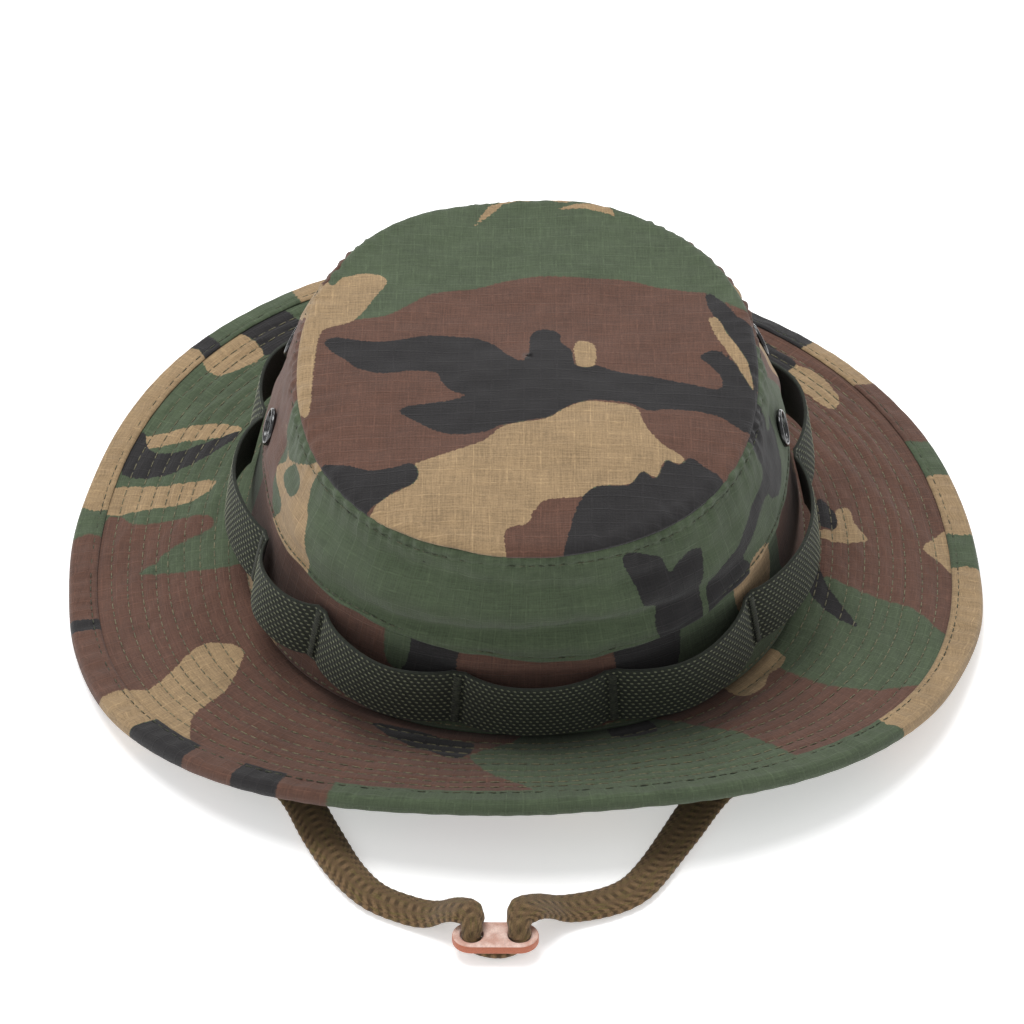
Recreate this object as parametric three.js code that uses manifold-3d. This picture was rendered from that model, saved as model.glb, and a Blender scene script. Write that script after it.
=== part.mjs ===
// Boonie hat: a soft crown with a flat oval tip, a stitched brim with a bound edge, foliage webbing sewn
// round the crown in loops, four screened vents, and a chin strap with a leather keeper lying in front.
// Millimetres, +Z up. The origin is on the surface that the hat stands on, under the middle of the brim.
// Angles go round the hat from the front (-Y), and positive angles are towards +X.

import * as THREE from "three";
import { mergeVertices } from "three/addons/utils/BufferGeometryUtils.js";
import Module from "manifold-3d";

const wasm = await Module();
wasm.setup();

// Driving dimensions.
const STAND_HEIGHT = 14.2; // headband seam above the ground, at the sides
const BAND_HALF_X = 98.5;
const BAND_HALF_Y = 93;
const BAND_TILT = 8.4; // the seam is this much lower at the front, and higher at the back
const TIP_HALF_X = 75;
const TIP_HALF_Y = 88;
const TIP_CENTRE = [1, -13.5];
const TIP_HEIGHT = 83.2; // above the headband seam
const TIP_TILT = 8;
const TIP_DOME = 3;
const WALL_BULGE = 2;
const BRIM_WIDTH = 58.5;
const BINDING_WIDTH = 10.5;
const CLOTH = 0.9; // one ply of crown cloth, with its turnings
const GAP = 0.3; // between sewn pieces
const LOWER_BAND_HEIGHT = 47; // headband seam to the folded hem of the wall, at the sides and back
const LOWER_BAND_DIP = 8.5; // how much lower that hem is in front
const LOWER_BAND_DIP_ANGLE = 8;
const LOWER_BAND_DIP_SPREAD = 0.156;
const SWEATBAND_DROP = 6; // below the headband seam
const SWEATBAND_HEIGHT = 36;
const WEBBING_WIDTH = 23;
const WEBBING_THICKNESS = 1.2;
const WEBBING_BULGE = 5.6;
const WEBBING_FRONT_BULGE = 4.4;
const WEBBING_LEAN = 4; // how much further the upper edge of a loop stands off
// Where the webbing is sewn down: the angle, and its lower edge's height above the headband seam.
const BARTACKS = [
  [-105, 17],
  [-68, 17],
  [-44, 16.5],
  [-13, 10],
  [17, 9.5],
  [50, 16],
  [93, 17],
  [126, 17],
  [159, 17],
  [192, 17],
  [224, 17],
];
const BARTACK_HALF_ANGLE = 1.1;
const VENT_ANGLES = [-116, -88, 88, 116];
const VENT_SHARE = 0.68; // of the way up the wall
const VENT_RADIUS = 6.25;
const VENT_BORE = 4.2;
const CORD_WIDTH = 12;
const CORD_THICKNESS = 4;
const KEEPER_LENGTH = 26;
const KEEPER_WIDTH = 11;
const KEEPER_THICKNESS = 3;
const KEEPER_HOLE_SPACING = 14.2;
const KEEPER_HOLE_RADIUS = 3.4;
const KEEPER_CENTRE = [-8.2, -180.5];

const RING_STEPS = 44;
const LOOP_STEPS = 10;
const UP = new THREE.Vector3(0, 0, 1);
const radians = THREE.MathUtils.degToRad;

// The hat's own curves.

// The headband seam, where crown and brim meet.
function bandPoint(angle) {
  const squareness = 1 - 0.027 * Math.cos(4 * angle) + 0.015 * Math.cos(3 * angle);
  return new THREE.Vector3(
    BAND_HALF_X * Math.sin(angle) * squareness,
    -BAND_HALF_Y * Math.cos(angle) * squareness,
    STAND_HEIGHT - BAND_TILT * Math.cos(angle),
  );
}

// The seam round the oval tip.
function tipPoint(angle) {
  const squareness = 1 - 0.02 * Math.cos(4 * angle);
  return new THREE.Vector3(
    TIP_CENTRE[0] + TIP_HALF_X * Math.sin(angle) * squareness,
    TIP_CENTRE[1] - TIP_HALF_Y * Math.cos(angle) * squareness,
    STAND_HEIGHT + TIP_HEIGHT - TIP_TILT * Math.cos(angle) - 0.8 * Math.cos(2 * angle),
  );
}

// The level direction straight out from the headband.
function outward(angle) {
  return new THREE.Vector3(BAND_HALF_Y * Math.sin(angle), -BAND_HALF_X * Math.cos(angle), 0).normalize();
}

// A point on the crown's wall, a distance up it from the headband seam and a distance off its outer face.
function wallPoint(angle, height, off) {
  const band = bandPoint(angle);
  const rise = tipPoint(angle).sub(band);
  const length = rise.length();
  const out = outward(angle);
  const along = new THREE.Vector3(-out.y, out.x, 0);
  const face = along.cross(rise.clone().normalize()).normalize();
  const share = THREE.MathUtils.clamp(height / length, 0, 1);
  const bulge = WALL_BULGE * Math.sin(Math.PI * share);
  return band.addScaledVector(rise, height / length).addScaledVector(face, off + bulge);
}

// Height of the wall's folded hem, which covers the top of the lower band.
function hemHeight(angle) {
  const away = 1 - Math.cos(angle - radians(LOWER_BAND_DIP_ANGLE));
  return LOWER_BAND_HEIGHT - LOWER_BAND_DIP * Math.exp(-away / LOWER_BAND_DIP_SPREAD);
}

function wallLength(angle) {
  return tipPoint(angle).distanceTo(bandPoint(angle));
}

// The brim curls up at the front, droops over the sides and lies nearly level behind.
function brimSlope(angle) {
  return radians(
    2.3 + 6.4 * Math.cos(angle) + 13.6 * Math.cos(2 * angle) - 0.3 * Math.cos(3 * angle) -
      0.5 * Math.cos(4 * angle) - 0.5 * Math.sin(angle) + 3.3 * Math.sin(2 * angle) -
      1.2 * Math.sin(3 * angle) + 0.5 * Math.sin(4 * angle),
  );
}

// The stiff bound edge turns up or down from the rest of the brim by this much.
function bindingTurn(angle) {
  return radians(-4.5 + 10.8 * Math.cos(angle) - 8.1 * Math.cos(2 * angle));
}

// A point on the brim, a distance out from the headband seam and a distance above its middle ply.
function brimPoint(angle, distance, lift) {
  const out = outward(angle);
  const flat = BRIM_WIDTH - BINDING_WIDTH;
  const slope = brimSlope(angle);
  const edgeSlope = slope + bindingTurn(angle);
  const direction = (a) => out.clone().multiplyScalar(Math.cos(a)).addScaledVector(UP, Math.sin(a));
  const top = distance > flat ? edgeSlope : slope;
  return bandPoint(angle)
    .addScaledVector(direction(slope), Math.min(distance, flat))
    .addScaledVector(direction(edgeSlope), Math.max(distance - flat, 0))
    .addScaledVector(direction(top + Math.PI / 2), lift);
}

// Closed solids from rows of points.

// Turns the faces round if they point inwards.
function facingOut(geometry) {
  const p = geometry.attributes.position;
  const order = geometry.index.array;
  const [a, b, c] = [new THREE.Vector3(), new THREE.Vector3(), new THREE.Vector3()];
  let volume = 0;
  for (let i = 0; i < order.length; i += 3) {
    a.fromBufferAttribute(p, order[i]);
    b.fromBufferAttribute(p, order[i + 1]);
    c.fromBufferAttribute(p, order[i + 2]);
    volume += a.dot(b.cross(c));
  }
  if (volume < 0) order.reverse();
  return geometry;
}

function fromPoints(points, faces) {
  const geometry = new THREE.BufferGeometry().setFromPoints(points);
  geometry.setIndex(faces);
  return facingOut(geometry);
}

function quad(a, b, c, d) {
  return [a, b, c, a, c, d];
}

// Two triangles that share the diagonal a-c, or b-d for the far half of a section, so that the facing
// sides of two plies are cut into the same triangles.
function patch(a, b, c, d, far) {
  return far ? quad(b, c, d, a) : quad(a, b, c, d);
}

// A ring: a closed section carried all the way round.
function ringSolid(sectionAt) {
  const points = [];
  const faces = [];
  const size = sectionAt(0).length;
  for (let i = 0; i < RING_STEPS; i += 1) {
    points.push(...sectionAt((2 * Math.PI * i) / RING_STEPS));
    const next = (i + 1) % RING_STEPS;
    for (let j = 0; j < size; j += 1) {
      const k = (j + 1) % size;
      const far = j >= size / 2;
      faces.push(...patch(i * size + j, i * size + k, next * size + k, next * size + j, far));
    }
  }
  return fromPoints(points, faces);
}

// A dome: an open section from a pole on top, round the rim, to a pole underneath.
function domeSolid(topPole, sectionAt, bottomPole) {
  const points = [];
  const faces = [];
  const size = sectionAt(0).length;
  const top = RING_STEPS * size;
  for (let i = 0; i < RING_STEPS; i += 1) {
    points.push(...sectionAt((2 * Math.PI * i) / RING_STEPS));
    const next = (i + 1) % RING_STEPS;
    faces.push(top, i * size, next * size);
    for (let j = 0; j + 1 < size; j += 1) {
      faces.push(...quad(i * size + j, i * size + j + 1, next * size + j + 1, next * size + j));
    }
    faces.push(top + 1, next * size + size - 1, i * size + size - 1);
  }
  return fromPoints([...points, topPole, bottomPole], faces);
}

// A strip: four-cornered sections from end to end, closed by its two ends.
function stripSolid(sections) {
  const faces = [...quad(0, 1, 2, 3)];
  for (let i = 0; i + 1 < sections.length; i += 1) {
    for (let j = 0; j < 4; j += 1) {
      const k = (j + 1) % 4;
      faces.push(...quad(i * 4 + k, i * 4 + j, i * 4 + 4 + j, i * 4 + 4 + k));
    }
  }
  const last = sections.length * 4 - 4;
  faces.push(...quad(last + 3, last + 2, last + 1, last));
  return fromPoints(sections.flat(), faces);
}

function asManifold(geometry) {
  const bare = geometry.clone();
  bare.deleteAttribute("normal");
  bare.deleteAttribute("uv");
  const merged = mergeVertices(bare, 1e-4);
  return new wasm.Manifold(
    new wasm.Mesh({
      numProp: 3,
      vertProperties: new Float32Array(merged.attributes.position.array),
      triVerts: new Uint32Array(merged.index.array),
    }),
  );
}

function fromManifold(solid) {
  const mesh = solid.getMesh();
  const geometry = new THREE.BufferGeometry();
  geometry.setAttribute("position", new THREE.BufferAttribute(new Float32Array(mesh.vertProperties), 3));
  geometry.setIndex(new THREE.BufferAttribute(new Uint32Array(mesh.triVerts), 1));
  return geometry;
}

// Materials.
const cloth = { green: 0x46573f, brown: 0x5e4136, tan: 0xa08a64, black: 0x2b292c };
const webbingGreen = 0x2b3428;

function material(color, roughness, metalness = 0) {
  return new THREE.MeshStandardMaterial({ color, roughness, metalness, flatShading: true });
}

const hat = new THREE.Group();

function add(name, geometry, color, roughness = 0.9, metalness = 0) {
  const mesh = new THREE.Mesh(geometry, material(color, roughness, metalness));
  mesh.name = name;
  hat.add(mesh);
  return mesh;
}

// Crown.

// Cloth between two heights on the wall, its outer face the given distance off the wall's own face.
function wallSection(angle, low, high, off, thickness) {
  const middle = (low + high) / 2;
  const heights = [low, middle, high];
  const outer = heights.map((h) => wallPoint(angle, h, off));
  const inner = heights.reverse().map((h) => wallPoint(angle, h, off - thickness));
  return [...outer, ...inner];
}

const underCloth = -CLOTH - 1.5 * GAP;

function crownSide() {
  const top = (angle) => wallLength(angle) - CLOTH - 2 * GAP;
  const ring = ringSolid((angle) => wallSection(angle, hemHeight(angle), top(angle), 0, CLOTH));
  let solid = asManifold(ring);
  for (const angle of VENT_ANGLES) {
    const punch = new THREE.CylinderGeometry(VENT_BORE + 0.9, VENT_BORE + 0.9, 12, 20);
    punch.rotateX(Math.PI / 2);
    punch.applyMatrix4(ventPlace(angle));
    solid = solid.subtract(asManifold(punch));
  }
  return fromManifold(solid);
}

function crownTip() {
  const centre = new THREE.Vector3(TIP_CENTRE[0], TIP_CENTRE[1], STAND_HEIGHT + TIP_HEIGHT + TIP_DOME);
  const level = 0.12; // share of the tip, in the middle, that is flat
  const point = (angle, share, drop) => {
    const rim = tipPoint(angle);
    const reach = Math.max(0, (share - level) / (1 - level));
    const z = THREE.MathUtils.lerp(centre.z, rim.z, reach * reach);
    return new THREE.Vector3(
      THREE.MathUtils.lerp(centre.x, rim.x, share),
      THREE.MathUtils.lerp(centre.y, rim.y, share),
      z - drop,
    );
  };
  const shares = [level, 0.4, 0.7, 1];
  const section = (angle) => [
    ...shares.map((share) => point(angle, share, 0)),
    ...shares.toReversed().map((share) => point(angle, share, CLOTH)),
  ];
  return domeSolid(centre.clone(), section, centre.clone().addScaledVector(UP, -CLOTH));
}

add("crown_tip", crownTip(), cloth.brown);
add("crown_side", crownSide(), cloth.green);
add(
  "tip_seam_tape",
  ringSolid((angle) => {
    const top = wallLength(angle) - CLOTH - 2 * GAP;
    return wallSection(angle, top - 9, top, underCloth, 0.7);
  }),
  cloth.black,
);
add(
  "crown_lower_band",
  ringSolid((angle) => wallSection(angle, 3.1, hemHeight(angle) + 6, underCloth, CLOTH)),
  cloth.brown,
);
add(
  "sweatband",
  ringSolid((angle) => wallSection(angle, -SWEATBAND_DROP, SWEATBAND_HEIGHT - SWEATBAND_DROP, -4.7, 1)),
  cloth.green,
);

// Brim: two plies with an interlining between them, and a binding folded over the edge.
const PLY = 0.6;
const INTERLINING = 0.9;
const STACK = INTERLINING / 2 + GAP + PLY;
const BRIM_START = -4;

function plySolid(low, high) {
  const stations = [BRIM_START, BRIM_WIDTH - BINDING_WIDTH, BRIM_WIDTH - 1.6];
  return ringSolid((angle) => [
    ...stations.map((d) => brimPoint(angle, d, high)),
    ...stations.toReversed().map((d) => brimPoint(angle, d, low)),
  ]);
}

add("brim_upper_ply", plySolid(STACK - PLY, STACK), cloth.brown);
add("brim_interlining", plySolid(-INTERLINING / 2, INTERLINING / 2), cloth.tan);
add("brim_lower_ply", plySolid(-STACK, PLY - STACK), cloth.green);

const bindingInner = STACK + GAP;
const bindingOuter = bindingInner + 0.65;
const bindingStart = BRIM_WIDTH - BINDING_WIDTH + 0.2;
add(
  "brim_binding",
  ringSolid((angle) => {
    const corners = [
      [bindingStart, bindingInner],
      [BRIM_WIDTH - 1, bindingInner],
      [BRIM_WIDTH - 1, -bindingInner],
      [bindingStart, -bindingInner],
      [bindingStart, -bindingOuter],
      [BRIM_WIDTH - 0.7, -bindingOuter],
      [BRIM_WIDTH, -1.2],
      [BRIM_WIDTH, 1.2],
      [BRIM_WIDTH - 0.7, bindingOuter],
      [bindingStart, bindingOuter],
    ];
    return corners.map(([distance, lift]) => brimPoint(angle, distance, lift));
  }),
  cloth.tan,
);

// Foliage webbing: one loop between each bartack and the next.
// Its ends lie flat under the bartacks, and between them it stands off the band.
function webbingLoop([fromDegrees, fromLift], [toDegrees, toLift]) {
  const from = radians(fromDegrees);
  const to = radians(toDegrees);
  const end = radians(0.1);
  const flat = radians(BARTACK_HALF_ANGLE + 0.3);
  const start = [[from + end, 0], [from + flat, 0]];
  const finish = [[to - flat, 0], [to - end, 0]];
  const middle = [];
  for (let i = 1; i < LOOP_STEPS; i += 1) {
    const share = i / LOOP_STEPS;
    middle.push([THREE.MathUtils.lerp(from + flat, to - flat, share), Math.sin(Math.PI * share) ** 0.8]);
  }
  const frontness = Math.max(0, Math.cos((from + to) / 2)) ** 16;
  const bulge = THREE.MathUtils.lerp(WEBBING_BULGE, WEBBING_FRONT_BULGE, frontness);
  const sections = [];
  for (const [angle, arch] of [...start, ...middle, ...finish]) {
    const low = GAP + bulge * arch;
    const high = low + WEBBING_LEAN * arch;
    const bottom = THREE.MathUtils.lerp(fromLift, toLift, (angle - from) / (to - from));
    const top = bottom + WEBBING_WIDTH;
    sections.push([
      wallPoint(angle, bottom, low),
      wallPoint(angle, bottom, low + WEBBING_THICKNESS),
      wallPoint(angle, top, high + WEBBING_THICKNESS),
      wallPoint(angle, top, high),
    ]);
  }
  return stripSolid(sections);
}

function bartack([degrees, lift]) {
  const angle = radians(degrees);
  const half = radians(BARTACK_HALF_ANGLE);
  const off = WEBBING_THICKNESS + 3 * GAP;
  const corners = (a) => [
    wallPoint(a, lift + 1.5, off),
    wallPoint(a, lift + 1.5, off + 0.5),
    wallPoint(a, lift + WEBBING_WIDTH - 1.5, off + 0.5),
    wallPoint(a, lift + WEBBING_WIDTH - 1.5, off),
  ];
  return stripSolid([corners(angle - half), corners(angle + half)]);
}

BARTACKS.forEach((sewn, i) => {
  const next = BARTACKS[i + 1] ?? [BARTACKS[0][0] + 360, BARTACKS[0][1]];
  const number = String(i + 1).padStart(2, "0");
  add(`webbing_loop_${number}`, webbingLoop(sewn, next), webbingGreen);
  add(`webbing_bartack_${number}`, bartack(sewn), cloth.black);
});

// Vents: an eyelet with a rolled flange, a mesh screen in its bore and a washer behind the cloth.
function ventPlace(degrees) {
  const angle = radians(degrees);
  const height = VENT_SHARE * wallLength(angle);
  const centre = wallPoint(angle, height, 0);
  const up = wallPoint(angle, height + 4, 0).sub(wallPoint(angle, height - 4, 0)).normalize();
  const side = wallPoint(angle + 0.04, height, 0).sub(wallPoint(angle - 0.04, height, 0)).normalize();
  const face = side.clone().cross(up).normalize();
  const straightUp = face.clone().cross(side);
  return new THREE.Matrix4().makeBasis(side, straightUp, face).setPosition(centre);
}

// A lathe about the vent's own axis; its profile is radius and distance out of the wall.
function ventRing(profile, degrees, steps = 20) {
  const points = [...profile, profile[0]].map(([r, z]) => new THREE.Vector2(r, z));
  const ring = new THREE.LatheGeometry(points, steps);
  ring.rotateX(Math.PI / 2);
  ring.deleteAttribute("normal");
  ring.deleteAttribute("uv");
  return facingOut(mergeVertices(ring, 1e-4)).applyMatrix4(ventPlace(degrees));
}

const WASHER_TOP = -CLOTH - 0.7;
const flange = [
  [VENT_BORE, -2.4],
  [VENT_BORE + 0.5, -2.4],
  [VENT_BORE + 0.5, GAP],
  [VENT_RADIUS - 0.2, GAP],
  [VENT_RADIUS, 0.8],
  [VENT_RADIUS - 0.9, 1.5],
  [VENT_BORE + 0.3, 1.3],
  [VENT_BORE, 0.7],
];
const washer = [
  [VENT_BORE + 0.8, WASHER_TOP - 0.6],
  [VENT_RADIUS, WASHER_TOP - 0.6],
  [VENT_RADIUS, WASHER_TOP],
  [VENT_BORE + 0.8, WASHER_TOP],
];

VENT_ANGLES.forEach((degrees, i) => {
  const screen = new THREE.CylinderGeometry(VENT_BORE - GAP, VENT_BORE - GAP, 0.4, 20);
  screen.rotateX(Math.PI / 2);
  screen.applyMatrix4(ventPlace(degrees));
  add(`vent_eyelet_${i + 1}`, ventRing(flange, degrees), 0x101012, 0.3, 0.6);
  add(`vent_washer_${i + 1}`, ventRing(washer, degrees), 0x101012, 0.4, 0.6);
  add(`vent_screen_${i + 1}`, screen, 0x1a1a1c, 0.7);
});

// Chin strap: a flat braid sewn under the brim at each side. It lies on the ground in front of the hat,
// and both strands go down through the keeper's holes and meet beneath it.
function tackPatch(degrees) {
  const top = -STACK - 1.5 * GAP;
  const sections = [];
  for (let i = -2; i <= 2; i += 1) {
    const angle = radians(degrees + 2.2 * i);
    sections.push([
      brimPoint(angle, 0.6, top),
      brimPoint(angle, 8.6, top),
      brimPoint(angle, 8.6, top - 1),
      brimPoint(angle, 0.6, top - 1),
    ]);
  }
  return stripSolid(sections);
}

const onGround = CORD_THICKNESS / 2 + GAP;
const keeperBase = CORD_THICKNESS + 2 * GAP;
const overKeeper = keeperBase + KEEPER_THICKNESS + GAP + CORD_THICKNESS / 2;

// Points along each strand, from under the brim to the top of the keeper.
const leftStrand = [
  [-103, 5, 8.1],
  [-104, -8, 6.7],
  [-104.5, -20, 4.4],
  [-104.2, -34, 2.9],
  [-102.4, -50, onGround],
  [-97.6, -66, onGround],
  [-90.2, -82, onGround],
  [-80.6, -98, onGround],
  [-70, -114, onGround],
  [-62.5, -131, onGround],
  [-54.5, -147, onGround],
  [-45.5, -158.5, onGround],
  [-34.5, -164.8, onGround],
  [-27.5, -168, 3.8],
  [-22, -170.6, 8],
  [-17.8, -173.8, overKeeper + 0.8],
  [-15.6, -176.8, overKeeper + 0.9],
  [-15.2, -179.8, overKeeper + 0.7],
];
const rightStrand = [
  [103, 5, 8.1],
  [104, -8, 6.7],
  [104.5, -20, 4.4],
  [103, -34, 2.9],
  [98, -50, onGround],
  [90.5, -66, onGround],
  [81.5, -82, onGround],
  [69.5, -98, onGround],
  [57.4, -114, onGround],
  [48.4, -131, onGround],
  [39.5, -147.5, onGround],
  [33, -156.2, onGround],
  [24.5, -161.2, onGround],
  [13.4, -165.2, 3.6],
  [6.6, -168.4, 7.6],
  [1.8, -172.6, overKeeper + 0.8],
  [-0.7, -176.6, overKeeper + 0.9],
  [-1.1, -179.8, overKeeper + 0.7],
];
const bridge = [
  [-17.6, KEEPER_CENTRE[1], onGround],
  [-8.2, KEEPER_CENTRE[1], onGround],
  [1.2, KEEPER_CENTRE[1], onGround],
];

// The section's two sizes are across and along the first normal of the route's frame, which is level on the
// strands and upright on the bridge.
function cordTube(route, steps, across, along) {
  const section = new THREE.Shape();
  section.absellipse(0, 0, across / 2, along / 2, 0, 2 * Math.PI);
  const curve = new THREE.CatmullRomCurve3(route.map((p) => new THREE.Vector3(...p)));
  const tube = new THREE.ExtrudeGeometry(section, { steps, extrudePath: curve, curveSegments: 5 });
  tube.deleteAttribute("normal");
  tube.deleteAttribute("uv");
  return mergeVertices(tube, 1e-4);
}

function keeperSolid() {
  const half = KEEPER_LENGTH / 2;
  const corner = KEEPER_WIDTH / 2;
  const outline = new THREE.Shape();
  outline.absarc(half - corner, 0, corner, -Math.PI / 2, Math.PI / 2);
  outline.absarc(corner - half, 0, corner, Math.PI / 2, (3 * Math.PI) / 2);
  for (const side of [-1, 1]) {
    const hole = new THREE.Path();
    hole.absarc((side * KEEPER_HOLE_SPACING) / 2, 0, KEEPER_HOLE_RADIUS, 0, 2 * Math.PI, true);
    outline.holes.push(hole);
  }
  return new THREE.ExtrudeGeometry(outline, {
    depth: KEEPER_THICKNESS,
    bevelEnabled: false,
    curveSegments: 10,
  });
}

add("strap_tack_left", tackPatch(-92), cloth.green);
add("strap_tack_right", tackPatch(92), cloth.green);
add("chin_cord_left", cordTube(leftStrand, 38, CORD_WIDTH, CORD_THICKNESS), 0x584830);
add("chin_cord_right", cordTube(rightStrand, 38, CORD_WIDTH, CORD_THICKNESS), 0x584830);
add("chin_cord_bridge", cordTube(bridge, 3, CORD_THICKNESS, CORD_WIDTH), 0x584830);
add("cord_keeper", keeperSolid(), 0xb98a76, 0.6).position.set(...KEEPER_CENTRE, keeperBase);

export default hat;
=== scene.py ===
import math

import bpy
import numpy as np
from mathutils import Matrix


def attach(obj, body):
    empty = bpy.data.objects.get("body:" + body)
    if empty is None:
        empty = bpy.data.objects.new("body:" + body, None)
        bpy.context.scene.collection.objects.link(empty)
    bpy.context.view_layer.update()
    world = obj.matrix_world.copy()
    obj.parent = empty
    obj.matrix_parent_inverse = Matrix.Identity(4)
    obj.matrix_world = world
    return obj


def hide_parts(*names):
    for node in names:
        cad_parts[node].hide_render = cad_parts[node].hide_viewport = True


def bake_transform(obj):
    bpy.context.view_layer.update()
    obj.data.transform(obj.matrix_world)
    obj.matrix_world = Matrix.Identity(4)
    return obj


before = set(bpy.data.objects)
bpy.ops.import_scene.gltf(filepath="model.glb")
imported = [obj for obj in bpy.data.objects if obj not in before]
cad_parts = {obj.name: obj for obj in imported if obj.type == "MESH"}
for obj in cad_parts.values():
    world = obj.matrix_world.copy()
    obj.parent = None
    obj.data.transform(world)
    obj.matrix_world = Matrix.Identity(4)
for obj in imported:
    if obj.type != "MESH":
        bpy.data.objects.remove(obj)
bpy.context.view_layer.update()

# A boonie hat, seen from above its front. Shapes are worked out in millimetres and made in metres.
# Angles go round the hat from the front (-Y), and positive angles are towards +X.
MM = 0.001
UP = np.array([0.0, 0.0, 1.0])

# Driving dimensions, in millimetres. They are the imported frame's, but for the webbing's lean and the
# strap's thickness, which are nearer the photograph than the plain solids are.
STAND_HEIGHT = 14.2
BAND_HALF_X = 98.5
BAND_HALF_Y = 93
BAND_TILT = 8.4
TIP_HALF_X = 75
TIP_HALF_Y = 88
TIP_CENTRE = (1, -13.5)
TIP_HEIGHT = 83.2
TIP_TILT = 8
TIP_DOME = 3
TIP_LEVEL_SHARE = 0.12
WALL_BULGE = 2
HEM_HEIGHT = 47
HEM_DIP = 8.5
HEM_DIP_DEGREES = 8
HEM_DIP_SPREAD = 0.156
LOWER_BAND_START = 3.1
LOWER_BAND_OVERLAP = 6
TIP_TAPE_FROM_RIM = (10.5, 1.5)
CLOTH = 0.9
BRIM_START = -4
BRIM_WIDTH = 58.5
BINDING_WIDTH = 10.5
BRIM_STACK = 1.35
SWEATBAND_LOW = -6
SWEATBAND_HIGH = 30
SWEATBAND_OFFSET = -4.7
WEBBING_WIDTH = 23
WEBBING_THICKNESS = 1.2
WEBBING_BULGE = 5.6
WEBBING_FRONT_BULGE = 4.4
WEBBING_LEAN = 1.5
# Bartacks: each one's angle, in degrees, and how high the webbing's lower edge is there.
BARTACKS = (
    (-105, 17), (-68, 17), (-44, 16.5), (-13, 10), (17, 9.5), (50, 16), (93, 17), (126, 17),
    (159, 17), (192, 17), (224, 17),
)
BARTACK_FLAT_DEGREES = 1.4
VENT_ANGLES = (-116, -88, 88, 116)
VENT_SHARE = 0.68
VENT_RADIUS = 6.25
VENT_BORE = 4.2
EYELET_ROLL = 1.3
STRAP_WIDTH = 12
STRAP_THICKNESS = 3.5
KEEPER_CENTRE = (-8.2, -180.5)
KEEPER_BASE = 4.6
KEEPER_SIZE = (26, 11, 3)
KEEPER_HOLE_SPACING = 14.2
KEEPER_HOLE_RADIUS = 3.4
STITCH_ROW_PITCH = 5
WEBBING_YARNS = 14
WEBBING_PICK = 2.1
RIPSTOP_PITCH = 5.2

# Stitches: pitch, length and the thread's radius.
SEAM_STITCH = (3.0, 2.3, 0.17)
HEM_STITCH = (3.2, 2.5, 0.19)
SWEATBAND_STITCH = (3.4, 2.4, 0.25)
BAND_STITCH = (3.2, 2.3, 0.26)
QUILT_STITCH = (4.2, 3.5, 0.2)
BINDING_STITCH = (3.6, 2.8, 0.17)

# Millimetres round the hat to the radian, for waves and yarns that run round it.
TIP_REACH = 82
BAND_REACH = 95
WEBBING_REACH = 100
EDGE_REACH = 150

# Camera: at the photograph's angle, 1.25 m away.
CAMERA_DISTANCE = 1252.27
CAMERA_ELEVATION = math.radians(37)
CAMERA_TARGET_HEIGHT = 30 + STAND_HEIGHT
CAMERA_PITCH_DOWN = 37.6
CAMERA_TURN = 0.228
CAMERA_LENS = 133.3


def add_object(name, data):
    added = bpy.data.objects.new(name, data)
    bpy.context.scene.collection.objects.link(added)
    return added


def place_camera():
    data = bpy.data.cameras.new("camera")
    data.lens = CAMERA_LENS
    data.sensor_width = 36
    data.clip_end = 20
    camera = add_object("camera", data)
    camera.location = (
        0,
        -CAMERA_DISTANCE * math.cos(CAMERA_ELEVATION) * MM,
        (CAMERA_DISTANCE * math.sin(CAMERA_ELEVATION) + CAMERA_TARGET_HEIGHT) * MM,
    )
    camera.rotation_euler = (math.radians(90 - CAMERA_PITCH_DOWN), 0, math.radians(CAMERA_TURN))
    bpy.context.scene.camera = camera


place_camera()


# The hat's own curves and surfaces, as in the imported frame.

def across(*values):
    return np.stack(np.broadcast_arrays(*values), axis=-1)


def unit(vectors):
    return vectors / np.linalg.norm(vectors, axis=-1, keepdims=True)


def band_point(angle):
    square = 1 - 0.027 * np.cos(4 * angle) + 0.015 * np.cos(3 * angle)
    return across(
        BAND_HALF_X * np.sin(angle) * square,
        -BAND_HALF_Y * np.cos(angle) * square,
        STAND_HEIGHT - BAND_TILT * np.cos(angle),
    )


def tip_point(angle):
    square = 1 - 0.02 * np.cos(4 * angle)
    return across(
        TIP_CENTRE[0] + TIP_HALF_X * np.sin(angle) * square,
        TIP_CENTRE[1] - TIP_HALF_Y * np.cos(angle) * square,
        STAND_HEIGHT + TIP_HEIGHT - TIP_TILT * np.cos(angle) - 0.8 * np.cos(2 * angle),
    )


def outward(angle):
    return unit(across(BAND_HALF_Y * np.sin(angle), -BAND_HALF_X * np.cos(angle), 0 * angle))


def wall_length(angle):
    return np.linalg.norm(tip_point(angle) - band_point(angle), axis=-1)


def wall_face(angle):
    out = outward(angle)
    along = across(-out[..., 1], out[..., 0], 0 * out[..., 0])
    return unit(np.cross(along, unit(tip_point(angle) - band_point(angle))))


def wall_point(angle, height, off):
    angle, height, off = np.broadcast_arrays(angle, height, off)
    band = band_point(angle)
    rise = tip_point(angle) - band
    share = height / wall_length(angle)
    bulge = WALL_BULGE * np.sin(np.pi * np.clip(share, 0, 1))
    return band + rise * share[..., None] + wall_face(angle) * (off + bulge)[..., None]


def hem_height(angle):
    """The wall's folded lower edge, which dips at the front."""
    away = 1 - np.cos(angle - math.radians(HEM_DIP_DEGREES))
    return HEM_HEIGHT - HEM_DIP * np.exp(-away / HEM_DIP_SPREAD)


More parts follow.
